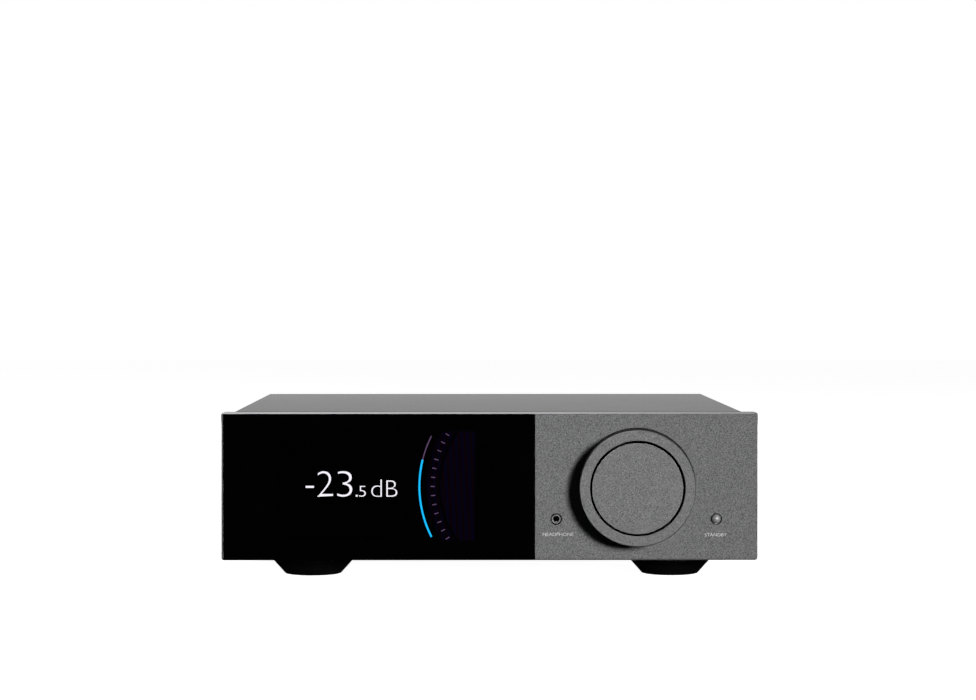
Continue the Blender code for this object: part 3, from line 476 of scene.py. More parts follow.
TRIM_LOOK = surface("foot_trim", (0.003, 0.003, 0.003), 0.10, 0.0010, (0.22, 0.28), 0.0, 0.05, 0.00001, 1.0)
PLASTIC_LOOK = surface(
    "moulded_black", (0.016, 0.016, 0.017), 0.2, 0.0005, (0.45, 0.6), 0.0, 0.3, 0.00004, 0.4
)
RED_LOOK = surface("moulded_red", (0.38, 0.012, 0.010), 0.08, 0.0008, (0.30, 0.42), 0.0, 0.1, 0.00002)
WHITE_LOOK = surface("moulded_white", (0.62, 0.62, 0.60), 0.05, 0.0008, (0.35, 0.5), 0.0, 0.1, 0.00002)
ORANGE_LOOK = surface("moulded_orange", (0.60, 0.16, 0.02), 0.06, 0.0008, (0.35, 0.5), 0.0, 0.1, 0.00002)
SMOKE_LOOK = surface(
    "terminal_cap", (0.022, 0.022, 0.024), 0.12, 0.0010, (0.12, 0.22), 0.0, 0.05, 0.00002, 0.6
)
BOARD_LOOK = surface("solder_mask", (0.012, 0.085, 0.040), 0.35, 0.0022, (0.30, 0.5), 0.0, 0.2, 0.00005)
SINK_LOOK = surface(
    "extruded_aluminium",
    (0.26, 0.26, 0.27),
    0.10,
    0.0012,
    (0.4, 0.55),
    0.9,
    0.2,
    0.00003,
    stretch=(6, 1, 6),
)
COPPER_LOOK = surface(
    "wound_copper", (0.42, 0.16, 0.06), 0.30, 0.0007, (0.25, 0.4), 0.8, 0.5, 0.0001, stretch=(1, 1, 6)
)
SLEEVE_LOOK = surface("printed_sleeve", (0.025, 0.032, 0.075), 0.2, 0.0030, (0.25, 0.4), 0.0, 0.05, 0.00002)
CABLE_LOOK = surface(
    "cable_jacket", (0.020, 0.020, 0.020), 0.2, 0.0008, (0.5, 0.65), 0.0, 0.2, 0.00003, 0.3
)
FOAM_LOOK = surface("foam_pad", (0.025, 0.025, 0.026), 0.4, 0.0006, (0.9, 1.0), 0.0, 0.8, 0.0001, 0.1)
INK_LOOK = surface("printed_ink", (0.60, 0.60, 0.60), 0.10, 0.0008, (0.55, 0.7), 0.0, 0.05, 0.00001, 0.3)

SLOT_LOOKS = {
    "anodised_aluminium": PANEL_LOOK,
    "knob_aluminium": KNOB_LOOK,
    "black_glass": GLASS_LOOK,
    "display": GLASS_LOOK,
    "painted_steel": REAR_LOOK,
    "plated_steel": ZINC_LOOK,
    "machined_steel": STEEL_LOOK,
    "bearing_bronze": BRONZE_LOOK,
    "gold_plate": GOLD_LOOK,
    "foot_rubber": FOOT_LOOK,
    "black_plastic": PLASTIC_LOOK,
    "terminal_plastic": SMOKE_LOOK,
    "circuit_board": BOARD_LOOK,
    "heatsink_aluminium": SINK_LOOK,
    "winding": COPPER_LOOK,
    "capacitor_sleeve": SLEEVE_LOOK,
    "cable_sheath": CABLE_LOOK,
    "foam": FOAM_LOOK,
}


def finish_frame_nodes():
    """Every CAD node takes the detailed material of its slot."""
    for part in frame["record"]["subparts"]:
        obj = NODES[part["node"]]
        look = SLOT_LOOKS[part["material_slot"]]
        for slot in obj.material_slots:
            slot.material = look
        if not obj.material_slots:
            obj.data.materials.append(look)


# ---------------------------------------------------------------- front panel


def apart(place, centre):
    """How far two places are from each other across the front."""
    return ((place.x - centre.x) ** 2 + (place.z - centre.z) ** 2) ** 0.5


def flared_hole(place, radius, flare=0.4 * MM):
    """A cutter for a round hole in the panel, with a small chamfer at its mouth."""
    end = PANEL_HIGH.y + 5 * MM
    profile = [
        (0, FACE_Y - 1 * MM),
        (radius + flare + 1 * MM, FACE_Y - 1 * MM),
        (radius, FACE_Y + flare),
        (radius, end),
        (0, end),
    ]
    return lathe_mesh("Y", place, profile, 64)


def front_panel():
    """The thick plate: rounded corners and front edges, the glass's rebate and the three holes."""
    outline = rounded_outline((PANEL_LOW.x, PANEL_BOTTOM), (PANEL_HIGH.x, PANEL_TOP), 2.0 * MM, 2.4 * MM)
    plate = prism_mesh(outline, "Y", (FACE_Y, PANEL_HIGH.y))
    work = bmesh.new()
    work.from_mesh(plate)
    on_face = [e for e in work.edges if all(abs(v.co.y - FACE_Y) < 1e-6 for v in e.verts)]
    bmesh.ops.bevel(work, geom=on_face, offset=1.0 * MM, segments=1, affect="EDGES")
    plate = finished(work, "plate", 20)
    gap, flare = 0.15 * MM, 0.15 * MM
    left, right = PANE_LEFT - gap, PANE_RIGHT + gap
    floor = GLASS_HIGH.y + 0.3 * MM
    rebate = prism_mesh(
        [
            (left, FACE_Y - 1 * MM),
            (right + flare + 1 * MM, FACE_Y - 1 * MM),
            (right, FACE_Y + flare),
            (right, floor),
            (left, floor),
        ],
        "Z",
        (PANEL_BOTTOM - 1 * MM, PANE_TOP + gap),
    )
    lcd_low, lcd_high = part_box("lcd_module")
    clear = 1.5 * MM
    window = box_mesh(
        (lcd_low.x - clear, FACE_Y, lcd_low.z - clear),
        (lcd_high.x + clear, PANEL_HIGH.y + 5 * MM, lcd_high.z + clear),
    )
    recess = lathe_mesh("Y", STANDBY, tube(0, 6.2 * MM, FACE_Y + 4.2 * MM, FACE_Y + 20 * MM), 48)
    holes = [
        flared_hole(KNOB, 8 * MM),
        flared_hole(JACK, 4.3 * MM, 0.1 * MM),
        flared_hole(STANDBY, 4.3 * MM, 0.1 * MM),
    ]
    mesh = carved(plate, [rebate, window, recess, *holes], 28)
    panel = piece(
        "front_panel_plate", mesh, [
            PANEL_LOOK, EDGE_LOOK, DARK_SIDE_AND_SHADE_LOOK
        ], "chassis", ["front_panel"]
    )
    # Painted highlight: the upward top chamfer alone takes the bright machined metal.
    paint_faces(panel, 1, lambda c, n: c.z > PANEL_TOP - 1.4 * MM and n.z > 0.3 and n.y < -0.3)
    # Painted shade: the walls of the socket's and the button's holes are painted dark.
    paint_faces(
        panel, 2, lambda c, n: c.y > FACE_Y + 0.2 * MM and min(apart(c, JACK), apart(c, STANDBY)) < 7 * MM
    )


def glass():
    mesh = box_mesh(
        (PANE_LEFT, GLASS_LOW.y, PANE_BOTTOM), (PANE_RIGHT, GLASS_HIGH.y, PANE_TOP), 0.2 * MM, 3
    )
    piece("display_glass_pane", mesh, GLASS_LOOK, "chassis", ["display_glass"])


# ---------------------------------------------------------------- the display's picture

ARC_CENTRE = (30.6 * MM, PANEL_LOW.z + 55.3 * MM)
ACTIVE_SIZE = (146 * MM, 81.5 * MM)
LAYER = 0.04 * MM


def layer(level):
    """The span in Y of one of the picture's thin layers, counted outwards from the glass."""
    start = FACE_Y - level * LAYER
    return (start - LAYER * 0.8, start)


def screen():
    centre = middle("lcd_module")
    half_x, half_z = ACTIVE_SIZE[0] / 2, ACTIVE_SIZE[1] / 2
    near, far = layer(0)
    mesh = box_mesh(
        (centre.x - half_x, near, centre.z - half_z), (centre.x + half_x, far, centre.z + half_z)
    )
    piece("screen_picture", mesh, screen_look(ARC_CENTRE), "chassis")


def volume_scale():
    """The lit arc, the thin track above it, and the ticks inside them."""
    blue = glowing("arc_blue", (0.0, 0.50, 1.0), 1.05)
    muted = glowing("track_violet", (0.100, 0.050, 0.125), 1.0, 0.25)
    radius = 83.0 * MM
    lit = ring_sector(ARC_CENTRE, radius, 1.4 * MM, 180 - 13.87, 180 + 26.96, 48)
    piece("volume_arc", prism_mesh(lit, "Y", layer(1)), blue, "chassis")
    track = ring_sector(ARC_CENTRE, radius, 0.85 * MM, 180 - 26.96, 180 - 13.87, 20)
    piece("volume_track", prism_mesh(track, "Y", layer(1)), muted, "chassis")
    count, spread, tick_radius, length, width = 13, 31.9, 73.1 * MM, 3.1 * MM, 0.7 * MM
    ticks = []
    for i in range(count):
        angle = 180 - spread + 2 * spread * i / (count - 1)
        half = width / tick_radius * 90 / pi
        outline = ring_sector(ARC_CENTRE, tick_radius, length, angle - half, angle + half, 1)
        ticks.append(prism_mesh(outline, "Y", layer(1)))
    piece("scale_ticks", joined(ticks), muted, "chassis")


def lettering(name, text, x, z, y, look, thin=0.0):
    """Flat lettering fitted into the span x across and z up, standing out over the span y."""
    curve = bpy.data.curves.new(name, "FONT")
    curve.body = text
    curve.size = 1.0
    curve.offset = thin
    curve.resolution_u = 6
    curve.extrude = 0.5
    mesh = evaluated_mesh(loose(curve))
    low = Vector([min(v.co[i] for v in mesh.vertices) for i in range(3)])
    high = Vector([max(v.co[i] for v in mesh.vertices) for i in range(3)])
    for v in mesh.vertices:
        along, up, out = [(v.co[i] - low[i]) / (high[i] - low[i]) for i in range(3)]
        v.co = (x[0] + along * (x[1] - x[0]), y[1] - out * (y[1] - y[0]), z[0] + up * (z[1] - z[0]))
    work = bmesh.new()
    work.from_mesh(mesh)
    bmesh.ops.remove_doubles(work, verts=work.verts, dist=0.000001)
    piece(name, finished(work, name), look, "chassis")


def reading():
    """The volume reading: large whole decibels, small tenths and the unit."""
    pale = glowing("reading_white", (0.96, 0.93, 1.0), 1.0, 0.03)
    base = PANEL_LOW.z + 47.7 * MM
    spots = [
        ("reading_tens", "2", -128.3, -116.7, 19.0, -0.022),
        ("reading_units", "3", -113.8, -102.4, 19.0, -0.022),
        ("reading_tenths", "5", -97.4, -92.3, 8.0, -0.016),
        ("reading_unit_d", "d", -88.2, -80.4, 12.8, -0.022),
        ("reading_unit_b", "B", -77.0, -68.9, 12.1, -0.022),
    ]
    for name, text, left, right, height, thin in spots:
        lettering(
            name, text, (left * MM, right * MM), (base, base + height * MM), layer(1), pale, thin
        )
    near, far = layer(1)
    minus_z = base + 6.6 * MM
    minus = box_mesh((-137.1 * MM, near, minus_z), (-130.9 * MM, far, minus_z + 1.5 * MM))
    point = box_mesh((-99.8 * MM, near, base), (-98.4 * MM, far, base + 1.4 * MM))
    piece("reading_marks", joined([minus, point]), pale, "chassis")


def control_labels():
    """Plain words that say what the socket and the button are for."""
    y = (FACE_Y - 0.03 * MM, FACE_Y)
    for name, text, x, width, lift in (
        ("label_headphone", "HEADPHONE", JACK.x + 1.5 * MM, 22.9 * MM, 0.4 * MM),
        ("label_standby", "STANDBY", STANDBY.x - 0.3 * MM, 16.4 * MM, 0.0),
    ):
        span = (x - width / 2, x + width / 2)
        label_z = (PANEL_LOW.z + 17.9 * MM + lift, PANEL_LOW.z + 20.3 * MM + lift)
        lettering(name, text, span, label_z, y, INK_LOOK, -0.014)


# ---------------------------------------------------------------- controls


def off_axis(place):
    """How far a place is from the knob's own line."""
    return apart(place, KNOB)


def volume_ring():
    """The outer ring: blasted face, fine chamfers, a dark turned side, and a groove painted dark as painted
    shade.
    """
    chamfer, fine, steep, inner = 0.5 * MM, 0.5 * MM, 0.9 * MM, DISC_RADIUS + 1.55 * MM
    back, web, boss_front = RING_HIGH.y, RING_HIGH.y - 4 * MM, RING_LOW.y + 11 * MM
    boss, bore = 12 * MM, 7.3 * MM
    profile = [
        (bore, back),
        (KNOB_RADIUS - 0.4 * MM, back),
        (KNOB_RADIUS, back - 0.4 * MM),
        (KNOB_RADIUS, KNOB_FRONT + chamfer),
        (KNOB_RADIUS - chamfer, KNOB_FRONT),
        (inner + fine, KNOB_FRONT),
        (inner + fine * 0.4, KNOB_FRONT + steep * 0.4),
        (inner, KNOB_FRONT + steep),
        (inner, web),
        (boss, web),
        (boss, boss_front),
        (bore, boss_front),
    ]
    mesh = lathe_mesh("Y", KNOB, profile, 192, closed=True)
    looks = [KNOB_LOOK, DARK_SIDE_AND_SHADE_LOOK, KNOB_EDGE_LOOK, FINE_EDGE_LOOK]
    ring = piece("volume_ring_turned", mesh, looks, "knob", ["volume_ring"])
    # Dark behind the front chamfer: the turned side, and the groove's walls and floor as painted shade.
    paint_faces(ring, 1, lambda c, n: c.y > KNOB_FRONT + chamfer)
    paint_faces(ring, 2, lambda c, n: c.y < KNOB_FRONT + chamfer and off_axis(c) > KNOB_RADIUS - chamfer)
    paint_faces(ring, 3, lambda c, n: c.y < KNOB_FRONT + steep and off_axis(c) < inner + fine)


def place_knob_shadow_ring():
    """A dark ring on the panel just wider than the knob, a painted shadow gap round its rim."""
    front, wide, narrow = FACE_Y - 0.3 * MM, KNOB_RADIUS + 0.9 * MM, KNOB_RADIUS - 7 * MM
    profile = [
        (narrow, FACE_Y + 0.1 * MM),
        (narrow, front),
        (wide - 0.2 * MM, front),
        (wide, front + 0.2 * MM),
        (wide, FACE_Y + 0.1 * MM),
    ]
    # Painted shadow: the ring is set a little right of and above the knob's axis, so its dark rim shows beside
    # the knob.
    piece(
        "knob_painted_shadow_ring",
        lathe_mesh("Y", KNOB + Vector((0.8 * MM, 0, 0.1 * MM)), profile, 160, closed=True),
        DARK_SIDE_AND_SHADE_LOOK,
        "chassis",
    )


def select_disc():
    low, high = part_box("select_disc")
    chamfer = 0.15 * MM
    hole, depth = 2.9 * MM, 2.5 * MM
    profile = [
        (0, low.y),
        (DISC_RADIUS - chamfer, low.y),
        (DISC_RADIUS - chamfer * 0.3, low.y + chamfer * 0.3),
        (DISC_RADIUS, low.y + chamfer),
        (DISC_RADIUS, high.y - chamfer),
        (DISC_RADIUS - chamfer, high.y),
        (hole, high.y),
        (hole, high.y - depth),
        (0, high.y - depth),
    ]
    mesh = lathe_mesh("Y", KNOB, profile, 160)
    disc = piece(
        "select_disc_turned", mesh, [
            KNOB_LOOK, DARK_SIDE_AND_SHADE_LOOK, FINE_EDGE_LOOK
        ], "select_button", ["select_disc"]
    )
    # Painted shade: the disc's side, deep in the groove, is painted dark.
    paint_faces(disc, 1, lambda c, n: c.y > low.y + 2 * MM)
    paint_faces(disc, 2, lambda c, n: c.y < low.y + chamfer and off_axis(c) > DISC_RADIUS - chamfer)


def coil_mesh(centre, radius, wire, span, turns, around=36, sides=10):
    """A wire wound round a line along Y, with its last half turn at each end lying flat."""
    start, end = span[0] + wire, span[1] - wire
    work = bmesh.new()
    rings = []
    for i in range(turns * around + 1):
        turned = i / around
        share = min(max((turned - 0.5) / (turns - 1.0), 0.0), 1.0)
        along = start + (end - start) * share
        angle = tau * turned
        ring = []
        for k in range(sides):
            out = radius + wire * cos(tau * k / sides)
            spot = (
                centre.x + out * cos(angle),
                along + wire * sin(tau * k / sides),
                centre.z + out * sin(angle),
            )
            ring.append(work.verts.new(spot))
        rings.append(ring)
    join_rings(work, zip(rings, rings[1:]), sides)
    work.faces.new(rings[0])
    work.faces.new(rings[-1])
    return finished(work, "coil", 60)


def select_spring():
    """The disc's return spring, a coil that stands on the shaft."""
    low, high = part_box("select_spring")
    wire = 0.35 * MM
    mesh = coil_mesh(KNOB, (high.x - low.x) / 2 - wire, wire, (low.y, high.y), 4)
    spring = piece("select_spring_coil", mesh, STEEL_LOOK, "knob", ["select_spring"])
    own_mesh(spring)


def headphone_socket():
    """The socket's light metal lip, its black throat, and the sprung contact low inside."""
    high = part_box("headphone_jack")[1]
    front = FACE_Y + 0.3 * MM
    lip = [
        (2.5 * MM, front + 1.2 * MM),
        (2.5 * MM, front + 0.25 * MM),
        (2.7 * MM, front),
        (3.2 * MM, front),
        (3.4 * MM, front + 0.2 * MM),
        (3.4 * MM, front + 4 * MM),
        (2.5 * MM, front + 4 * MM),
    ]
    piece(
        "headphone_lip",
        lathe_mesh("Y", JACK, lip, 64, closed=True),
        BUTTON_LOOK,
        "chassis",
    )
    throat = [
        (0, front + 16 * MM),
        (1.8 * MM, front + 16 * MM),
        (2.0 * MM, front + 1.3 * MM),
        (2.45 * MM, front + 1.2 * MM),
        (2.45 * MM, high.y - 8 * MM),
        (3.6 * MM, high.y - 8 * MM),
        (3.6 * MM, high.y),
        (0, high.y),
    ]
    mesh = lathe_mesh("Y", JACK, throat, 48)
    piece("headphone_throat", mesh, PLASTIC_LOOK, "chassis", ["headphone_jack"])
    tongue = box_mesh(
        (JACK.x - 0.45 * MM, front + 0.5 * MM, JACK.z - 2.35 * MM),
        (JACK.x + 0.45 * MM, front + 3.0 * MM, JACK.z - 1.65 * MM),
        0.2 * MM,
        3,
    )
    piece("headphone_contact", tongue, BUTTON_LOOK, "chassis")


def standby_button():
    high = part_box("standby_button")[1]
    head, rim, steps = 3.5 * MM, FACE_Y + 0.9 * MM, 12
    crown = 3.3 * MM
    dome = [
        (head * sin(pi / 2 * i / steps), rim - crown * cos(pi / 2 * i / steps)) for i in range(steps + 1)
    ]
    profile = [
        *dome,
        (head, FACE_Y + 4.6 * MM),
        (5.6 * MM, FACE_Y + 4.6 * MM),
        (5.6 * MM, FACE_Y + 5.7 * MM),
        (2.0 * MM, FACE_Y + 5.7 * MM),
        (2.0 * MM, high.y),
        (0, high.y),
    ]
    mesh = lathe_mesh("Y", STANDBY, profile, 64)
    piece("standby_button_domed", mesh, DOME_LOOK, "standby_button", ["standby_button"])


# ---------------------------------------------------------------- cover, rear and underside


def stadium(centre_y, low, high, width):
    """An upright slot's outline with round ends, as (y, z) points."""
    half = width / 2
    top = arc_points((centre_y, high - half), half, 0, 180, 8)
    bottom = arc_points((centre_y, low + half), half, 180, 360, 8)
    return top + bottom


SLOT_PLACES = [-10 * MM + i * 10 * MM for i in range(13)]


def top_cover():
    """One sheet folded down each side, with slotted sides and two fine notches in its front edge."""
    sheet, bend, inner_bend, steps = 1.5 * MM, 1.2 * MM, 0.3 * MM, 6
    left, right, low, high = COVER_LEFT, COVER_RIGHT, COVER_LOW.z, COVER_HIGH.z + 0.2 * MM
    outer = [(right, low)]
    outer += arc_points((right - bend, high - bend), bend, 0, 90, steps)
    outer += arc_points((left + bend, high - bend), bend, 90, 180, steps)
    outer += [(left, low)]
    inset, under = sheet + inner_bend, high - sheet - inner_bend
    inner = [(left + sheet, low)]
    inner += arc_points((left + inset, under), inner_bend, 180, 90, steps)
    inner += arc_points((right - inset, under), inner_bend, 90, 0, steps)
    inner += [(right - sheet, low)]
    shell = prism_mesh(outer + inner, "Y", (COVER_LOW.y, COVER_HIGH.y))
    slots = joined(
        [
            prism_mesh(stadium(y, 60 * MM, 95 * MM, 3 * MM), "X", (left - 10 * MM, right + 10 * MM))
            for y in SLOT_PLACES
        ]
    )
    notches = joined(
        [
            box_mesh(
                (at - 0.75 * MM, COVER_LOW.y - 1 * MM, high - 3 * MM),
                (at + 0.75 * MM, COVER_LOW.y + 1.2 * MM, high + 1 * MM),
            )
            for at in (-24.8 * MM, -0.9 * MM)
        ]
    )
    mesh = carved(shell, [slots, notches], 28)
    piece("top_cover_sheet", mesh, COVER_LOOK, "chassis", ["top_cover"])


def screw_mesh(place, normal, radius=2.9 * MM, height=1.5 * MM):
    """A low domed screw head with a hexagonal recess, standing on a face."""
    work = bmesh.new()
    profile = [
        (0, height * 0.45),
        (radius * 0.42, height * 0.45),
        (radius * 0.46, height),
        (radius * 0.62, height * 0.95),
        (radius * 0.86, height * 0.7),
        (radius, height * 0.3),
        (radius, -0.2 * MM),
        (0, -0.2 * MM),
    ]
    rings = []
    around = 36
    for r, up in profile:
        sides = 6 if 0 < r < radius * 0.5 else around
        points = [(r * cos(tau * i / around), r * sin(tau * i / around)) for i in range(around)]
        if sides == 6:
            flat = [cos(pi / 6) / cos(((tau * i / around) % (pi / 3)) - pi / 6) for i in range(around)]
            points = [(a * f, b * f) for (a, b), f in zip(points, flat)]
        rings.append([work.verts.new((a, b, up)) for a, b in points] if r else [work.verts.new((0, 0, up))])
    join_rings(work, zip(rings, rings[1:]), around)
    turn = Vector(normal).to_track_quat("Z", "Y").to_matrix().to_4x4()
    bmesh.ops.transform(work, matrix=Matrix.Translation(place) @ turn, verts=work.verts)
    return finished(work, "screw")


def screws():
    flange_z = BASE_Z + 6.5 * MM
    sides = [
        screw_mesh((side, y, flange_z), (sign, 0, 0), 2.7 * MM, 1.2 * MM)
        for side, sign in ((COVER_LEFT, -1), (COVER_RIGHT, 1))
        for y in (-0.135, 0.003, 0.145)
    ]
    piece("cover_side_screws", joined(sides), SCREW_LOOK, "chassis")
    top, bottom = REAR_HIGH.z - 5 * MM, REAR_LOW.z + 5 * MM
    spots = [
        (x, top) for x in (-0.180, -0.090, 0.0, 0.090, 0.180)
    ] + [(x, bottom) for x in (-0.180, 0.098, 0.180)]
    rear = [screw_mesh((x, REAR_Y, z), (0, 1, 0), 2.6 * MM, 1.2 * MM) for x, z in spots]
    piece("rear_panel_screws", joined(rear), SCREW_LOOK, "chassis")
    under = [
        screw_mesh((x, y, BASE_Z), (0, 0, -1), 2.6 * MM, 1.2 * MM)
        for x in (-0.180, 0.0, 0.180)
        for y in (-0.155, 0.160)
    ]
    piece("base_screws", joined(under), SCREW_LOOK, "chassis")


def foot(name):
    """A foot: a smooth cone, a glossy bead round its top, and a rubber ring it stands on."""
    low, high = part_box(name)
    centre = (low + high) / 2
    wide = (high.x - low.x) / 2
    toe, shoulder = wide * 0.683, 11.2 * MM
    body = [
        (0, 3.0 * MM),
        (7 * MM, 3.0 * MM),
        (7.4 * MM, 0.5 * MM),
        (toe - 4.6 * MM, 0.5 * MM),
        (toe - 0.4 * MM, 0.5 * MM),
        (toe - 0.2 * MM, 0.15 * MM),
        (toe, 0.35 * MM),
        (wide - 0.9 * MM, shoulder - 0.6 * MM),
        (wide - 0.4 * MM, shoulder),
        (wide - 0.4 * MM, high.z),
        (0, high.z),
    ]
    piece(f"{name}_body", lathe_mesh("Z", centre, body, 128), FOOT_LOOK, "chassis", [name])
    bead = 0.8 * MM
    trim = arc_points((wide - bead, shoulder + 0.2 * MM + bead), bead, -90, 90, 12)
    piece(
        f"{name}_trim",
        lathe_mesh("Z", centre, trim, 128, closed=True),
        TRIM_LOOK,
        "chassis",
    )
    pad = [
        (toe - 4.5 * MM, 1.0 * MM),
        (toe - 4.5 * MM, 0.3 * MM),
        (toe - 4.2 * MM, 0.0),
        (toe - 0.8 * MM, 0.0),
        (toe - 0.5 * MM, 0.2 * MM),
        (toe - 0.5 * MM, 1.0 * MM),
    ]
    piece(
        f"{name}_pad", lathe_mesh("Z", centre, pad, 96, closed=True), RUBBER_LOOK, "chassis"
    )
    head = screw_mesh((centre.x, centre.y, 3.0 * MM), (0, 0, -1), 4.2 * MM, 1.8 * MM)
    piece(f"{name}_screw", head, STEEL_LOOK, "chassis")


def feet():
    for end in ("front", "rear"):
        for side in ("left", "right"):
            foot(f"foot_{end}_{side}")


# ---------------------------------------------------------------- rear connectors


def mains_inlet():
    """The recessed inlet: a flange with cut corners, a keyed recess, and three metal pins."""
    low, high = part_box("mains_inlet")
    centre = (low + high) / 2
    out = high.y
    flange = box_mesh((low.x, REAR_Y + 0.3 * MM, low.z), (high.x, out, high.z), 0.8 * MM, 4)
    body = box_mesh(
        (centre.x - 13.5 * MM, low.y, centre.z - 9.9 * MM),
        (centre.x + 13.5 * MM, out - 1 * MM, centre.z + 9.9 * MM),
        0.5 * MM,
    )
    keyed = [(-12, -8.2), (12, -8.2), (12, 3.6), (7.6, 8.2), (-7.6, 8.2), (-12, 3.6)]
    outline = [(centre.x + x * MM, centre.z + z * MM) for x, z in keyed]
    recess = prism_mesh(outline, "Y", (out - 18 * MM, out + 5 * MM))
    mesh = carved(carved(flange, [body], operation="UNION"), [recess], 28)
    piece("mains_inlet_shell", mesh, PLASTIC_LOOK, "chassis", ["mains_inlet"])
    floor = out - 18 * MM
    pins = [
        box_mesh(
            (centre.x + x * MM - 1 * MM, floor - 1 * MM, centre.z + z * MM - 2 * MM),
            (centre.x + x * MM + 1 * MM, floor + 12.5 * MM, centre.z + z * MM + 2 * MM),
            0.5 * MM,
            3,
        )
        for x, z in ((-7, -2), (7, -2), (0, 2))
    ]
    piece("mains_inlet_pins", joined(pins), STEEL_LOOK, "chassis")


def power_switch():
    """The rocker and its frame, with the usual on and off marks."""
    low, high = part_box("power_switch_frame")
    centre = (low + high) / 2
    frame_mesh = box_mesh((low.x, REAR_Y + 0.3 * MM, low.z), (high.x, high.y, high.z), 0.7 * MM, 4)
    body = box_mesh(
        (centre.x - 7 * MM, low.y, centre.z - 10.5 * MM),
        (centre.x + 7 * MM, high.y - 1 * MM, centre.z + 10.5 * MM),
        0.4 * MM,
    )
    well = box_mesh(
        (centre.x - 5.5 * MM, low.y + 3.5 * MM, centre.z - 9.2 * MM),
        (centre.x + 5.5 * MM, high.y + 3 * MM, centre.z + 9.2 * MM),
    )
    mesh = carved(carved(frame_mesh, [body], operation="UNION"), [well], 28)
    piece("power_switch_bezel", mesh, PLASTIC_LOOK, "chassis", ["power_switch_frame"])
    pivot = Vector((centre.x, high.y - 5.5 * MM, centre.z))
    outline = [
        (-3.0, -7.8), (4.1, -7.8), (4.5, -7.4), (3.0, -0.6), (3.0, 0.6), (4.5, 7.4), (4.1, 7.8), (-3.0, 7.8)
    ]
    points = [(y * MM, z * MM) for y, z in outline]
    rocker = prism_mesh(points, "X", (-5.1 * MM, 5.1 * MM))
    marks = [box_mesh((-0.25 * MM, 3.55 * MM, 2.6 * MM), (0.25 * MM, 4.05 * MM, 5.6 * MM))]
    zero = lathe_mesh(
        "Y", Vector((0, 0, -4.1 * MM)), tube(1.2 * MM, 1.6 * MM, 3.55 * MM, 4.1 * MM), 32, closed=True
    )
    marks.append(zero)
    place = Matrix.Translation(pivot) @ Matrix.Rotation(radians(11), 4, "X")
    rocker.transform(place)
    printed = joined(marks)
    printed.transform(place)
    piece("power_rocker_cap", rocker, SMOKE_LOOK, "power_rocker", ["power_rocker"])
    piece("power_rocker_marks", printed, WHITE_LOOK, "power_rocker")


def phono_jack(name, x, z, ring_look):
    """One phono jack: a hex nut on the panel, a gold barrel, and a coloured insulator in its mouth."""
    centre = Vector((x, 0, z))
    out = REAR_Y + 9.5 * MM
    barrel = [
        (3.15 * MM, out - 8 * MM),
        (3.15 * MM, out - 0.25 * MM),
        (3.4 * MM, out),
        (3.95 * MM, out),
        (4.2 * MM, out - 0.3 * MM),
        (4.2 * MM, REAR_Y - 3 * MM),
        (3.15 * MM, REAR_Y - 3 * MM),
    ]
    insulator = tube(1.75 * MM, 3.1 * MM, out - 0.6 * MM, REAR_Y - 2 * MM)
    core = tube(1.35 * MM, 1.7 * MM, out - 0.9 * MM, REAR_Y - 2 * MM)
    nut = prism_mesh(
        [(x + 5.9 * MM * cos(tau * i / 6), z + 5.9 * MM * sin(tau * i / 6)) for i in range(6)],
        "Y",
        (REAR_Y + 0.8 * MM, REAR_Y + 2.6 * MM),
    )
    bore = lathe_mesh("Y", centre, tube(0, 4.25 * MM, REAR_Y, REAR_Y + 5 * MM), 48)
    washer = tube(4.4 * MM, 6.6 * MM, REAR_Y + 0.05 * MM, REAR_Y + 0.75 * MM)
    gold = [
        lathe_mesh("Y", centre, barrel, 64, closed=True), lathe_mesh("Y", centre, core, 32, closed=True)
    ]
    gold.append(carved(nut, [bore]))
    piece(f"{name}_gold", joined(gold), GOLD_LOOK, "chassis")
    coloured = [
        lathe_mesh("Y", centre, insulator, 48, closed=True),
        lathe_mesh("Y", centre, washer, 48, closed=True),
    ]
    piece(f"{name}_ring", joined(coloured), ring_look, "chassis")


def phono_jacks():
    line_low, line_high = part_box("line_jacks")
    coax_low, coax_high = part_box("coax_jacks")
    for name, low, high in (("line", line_low, line_high), ("coax", coax_low, coax_high)):
        block = box_mesh((low.x, low.y, low.z), (high.x, REAR_LOW.y - 0.3 * MM, high.z), 0.4 * MM)
        piece(f"{name}_jack_block", block, PLASTIC_LOOK, "chassis", [f"{name}_jacks"])
    rows = (53 * MM, 35 * MM)
    for column, x in enumerate((line_low.x + 8 * MM, line_low.x + 26 * MM, line_low.x + 44 * MM)):
        for row, (z, look) in enumerate(zip(rows, (WHITE_LOOK, RED_LOOK))):
            phono_jack(f"line_jack_{column + 1}_{row + 1}", x, z, look)
    coax_x = (coax_low.x + coax_high.x) / 2
    for row, z in enumerate(rows):
        phono_jack(f"coax_jack_{row + 1}", coax_x, z, ORANGE_LOOK)


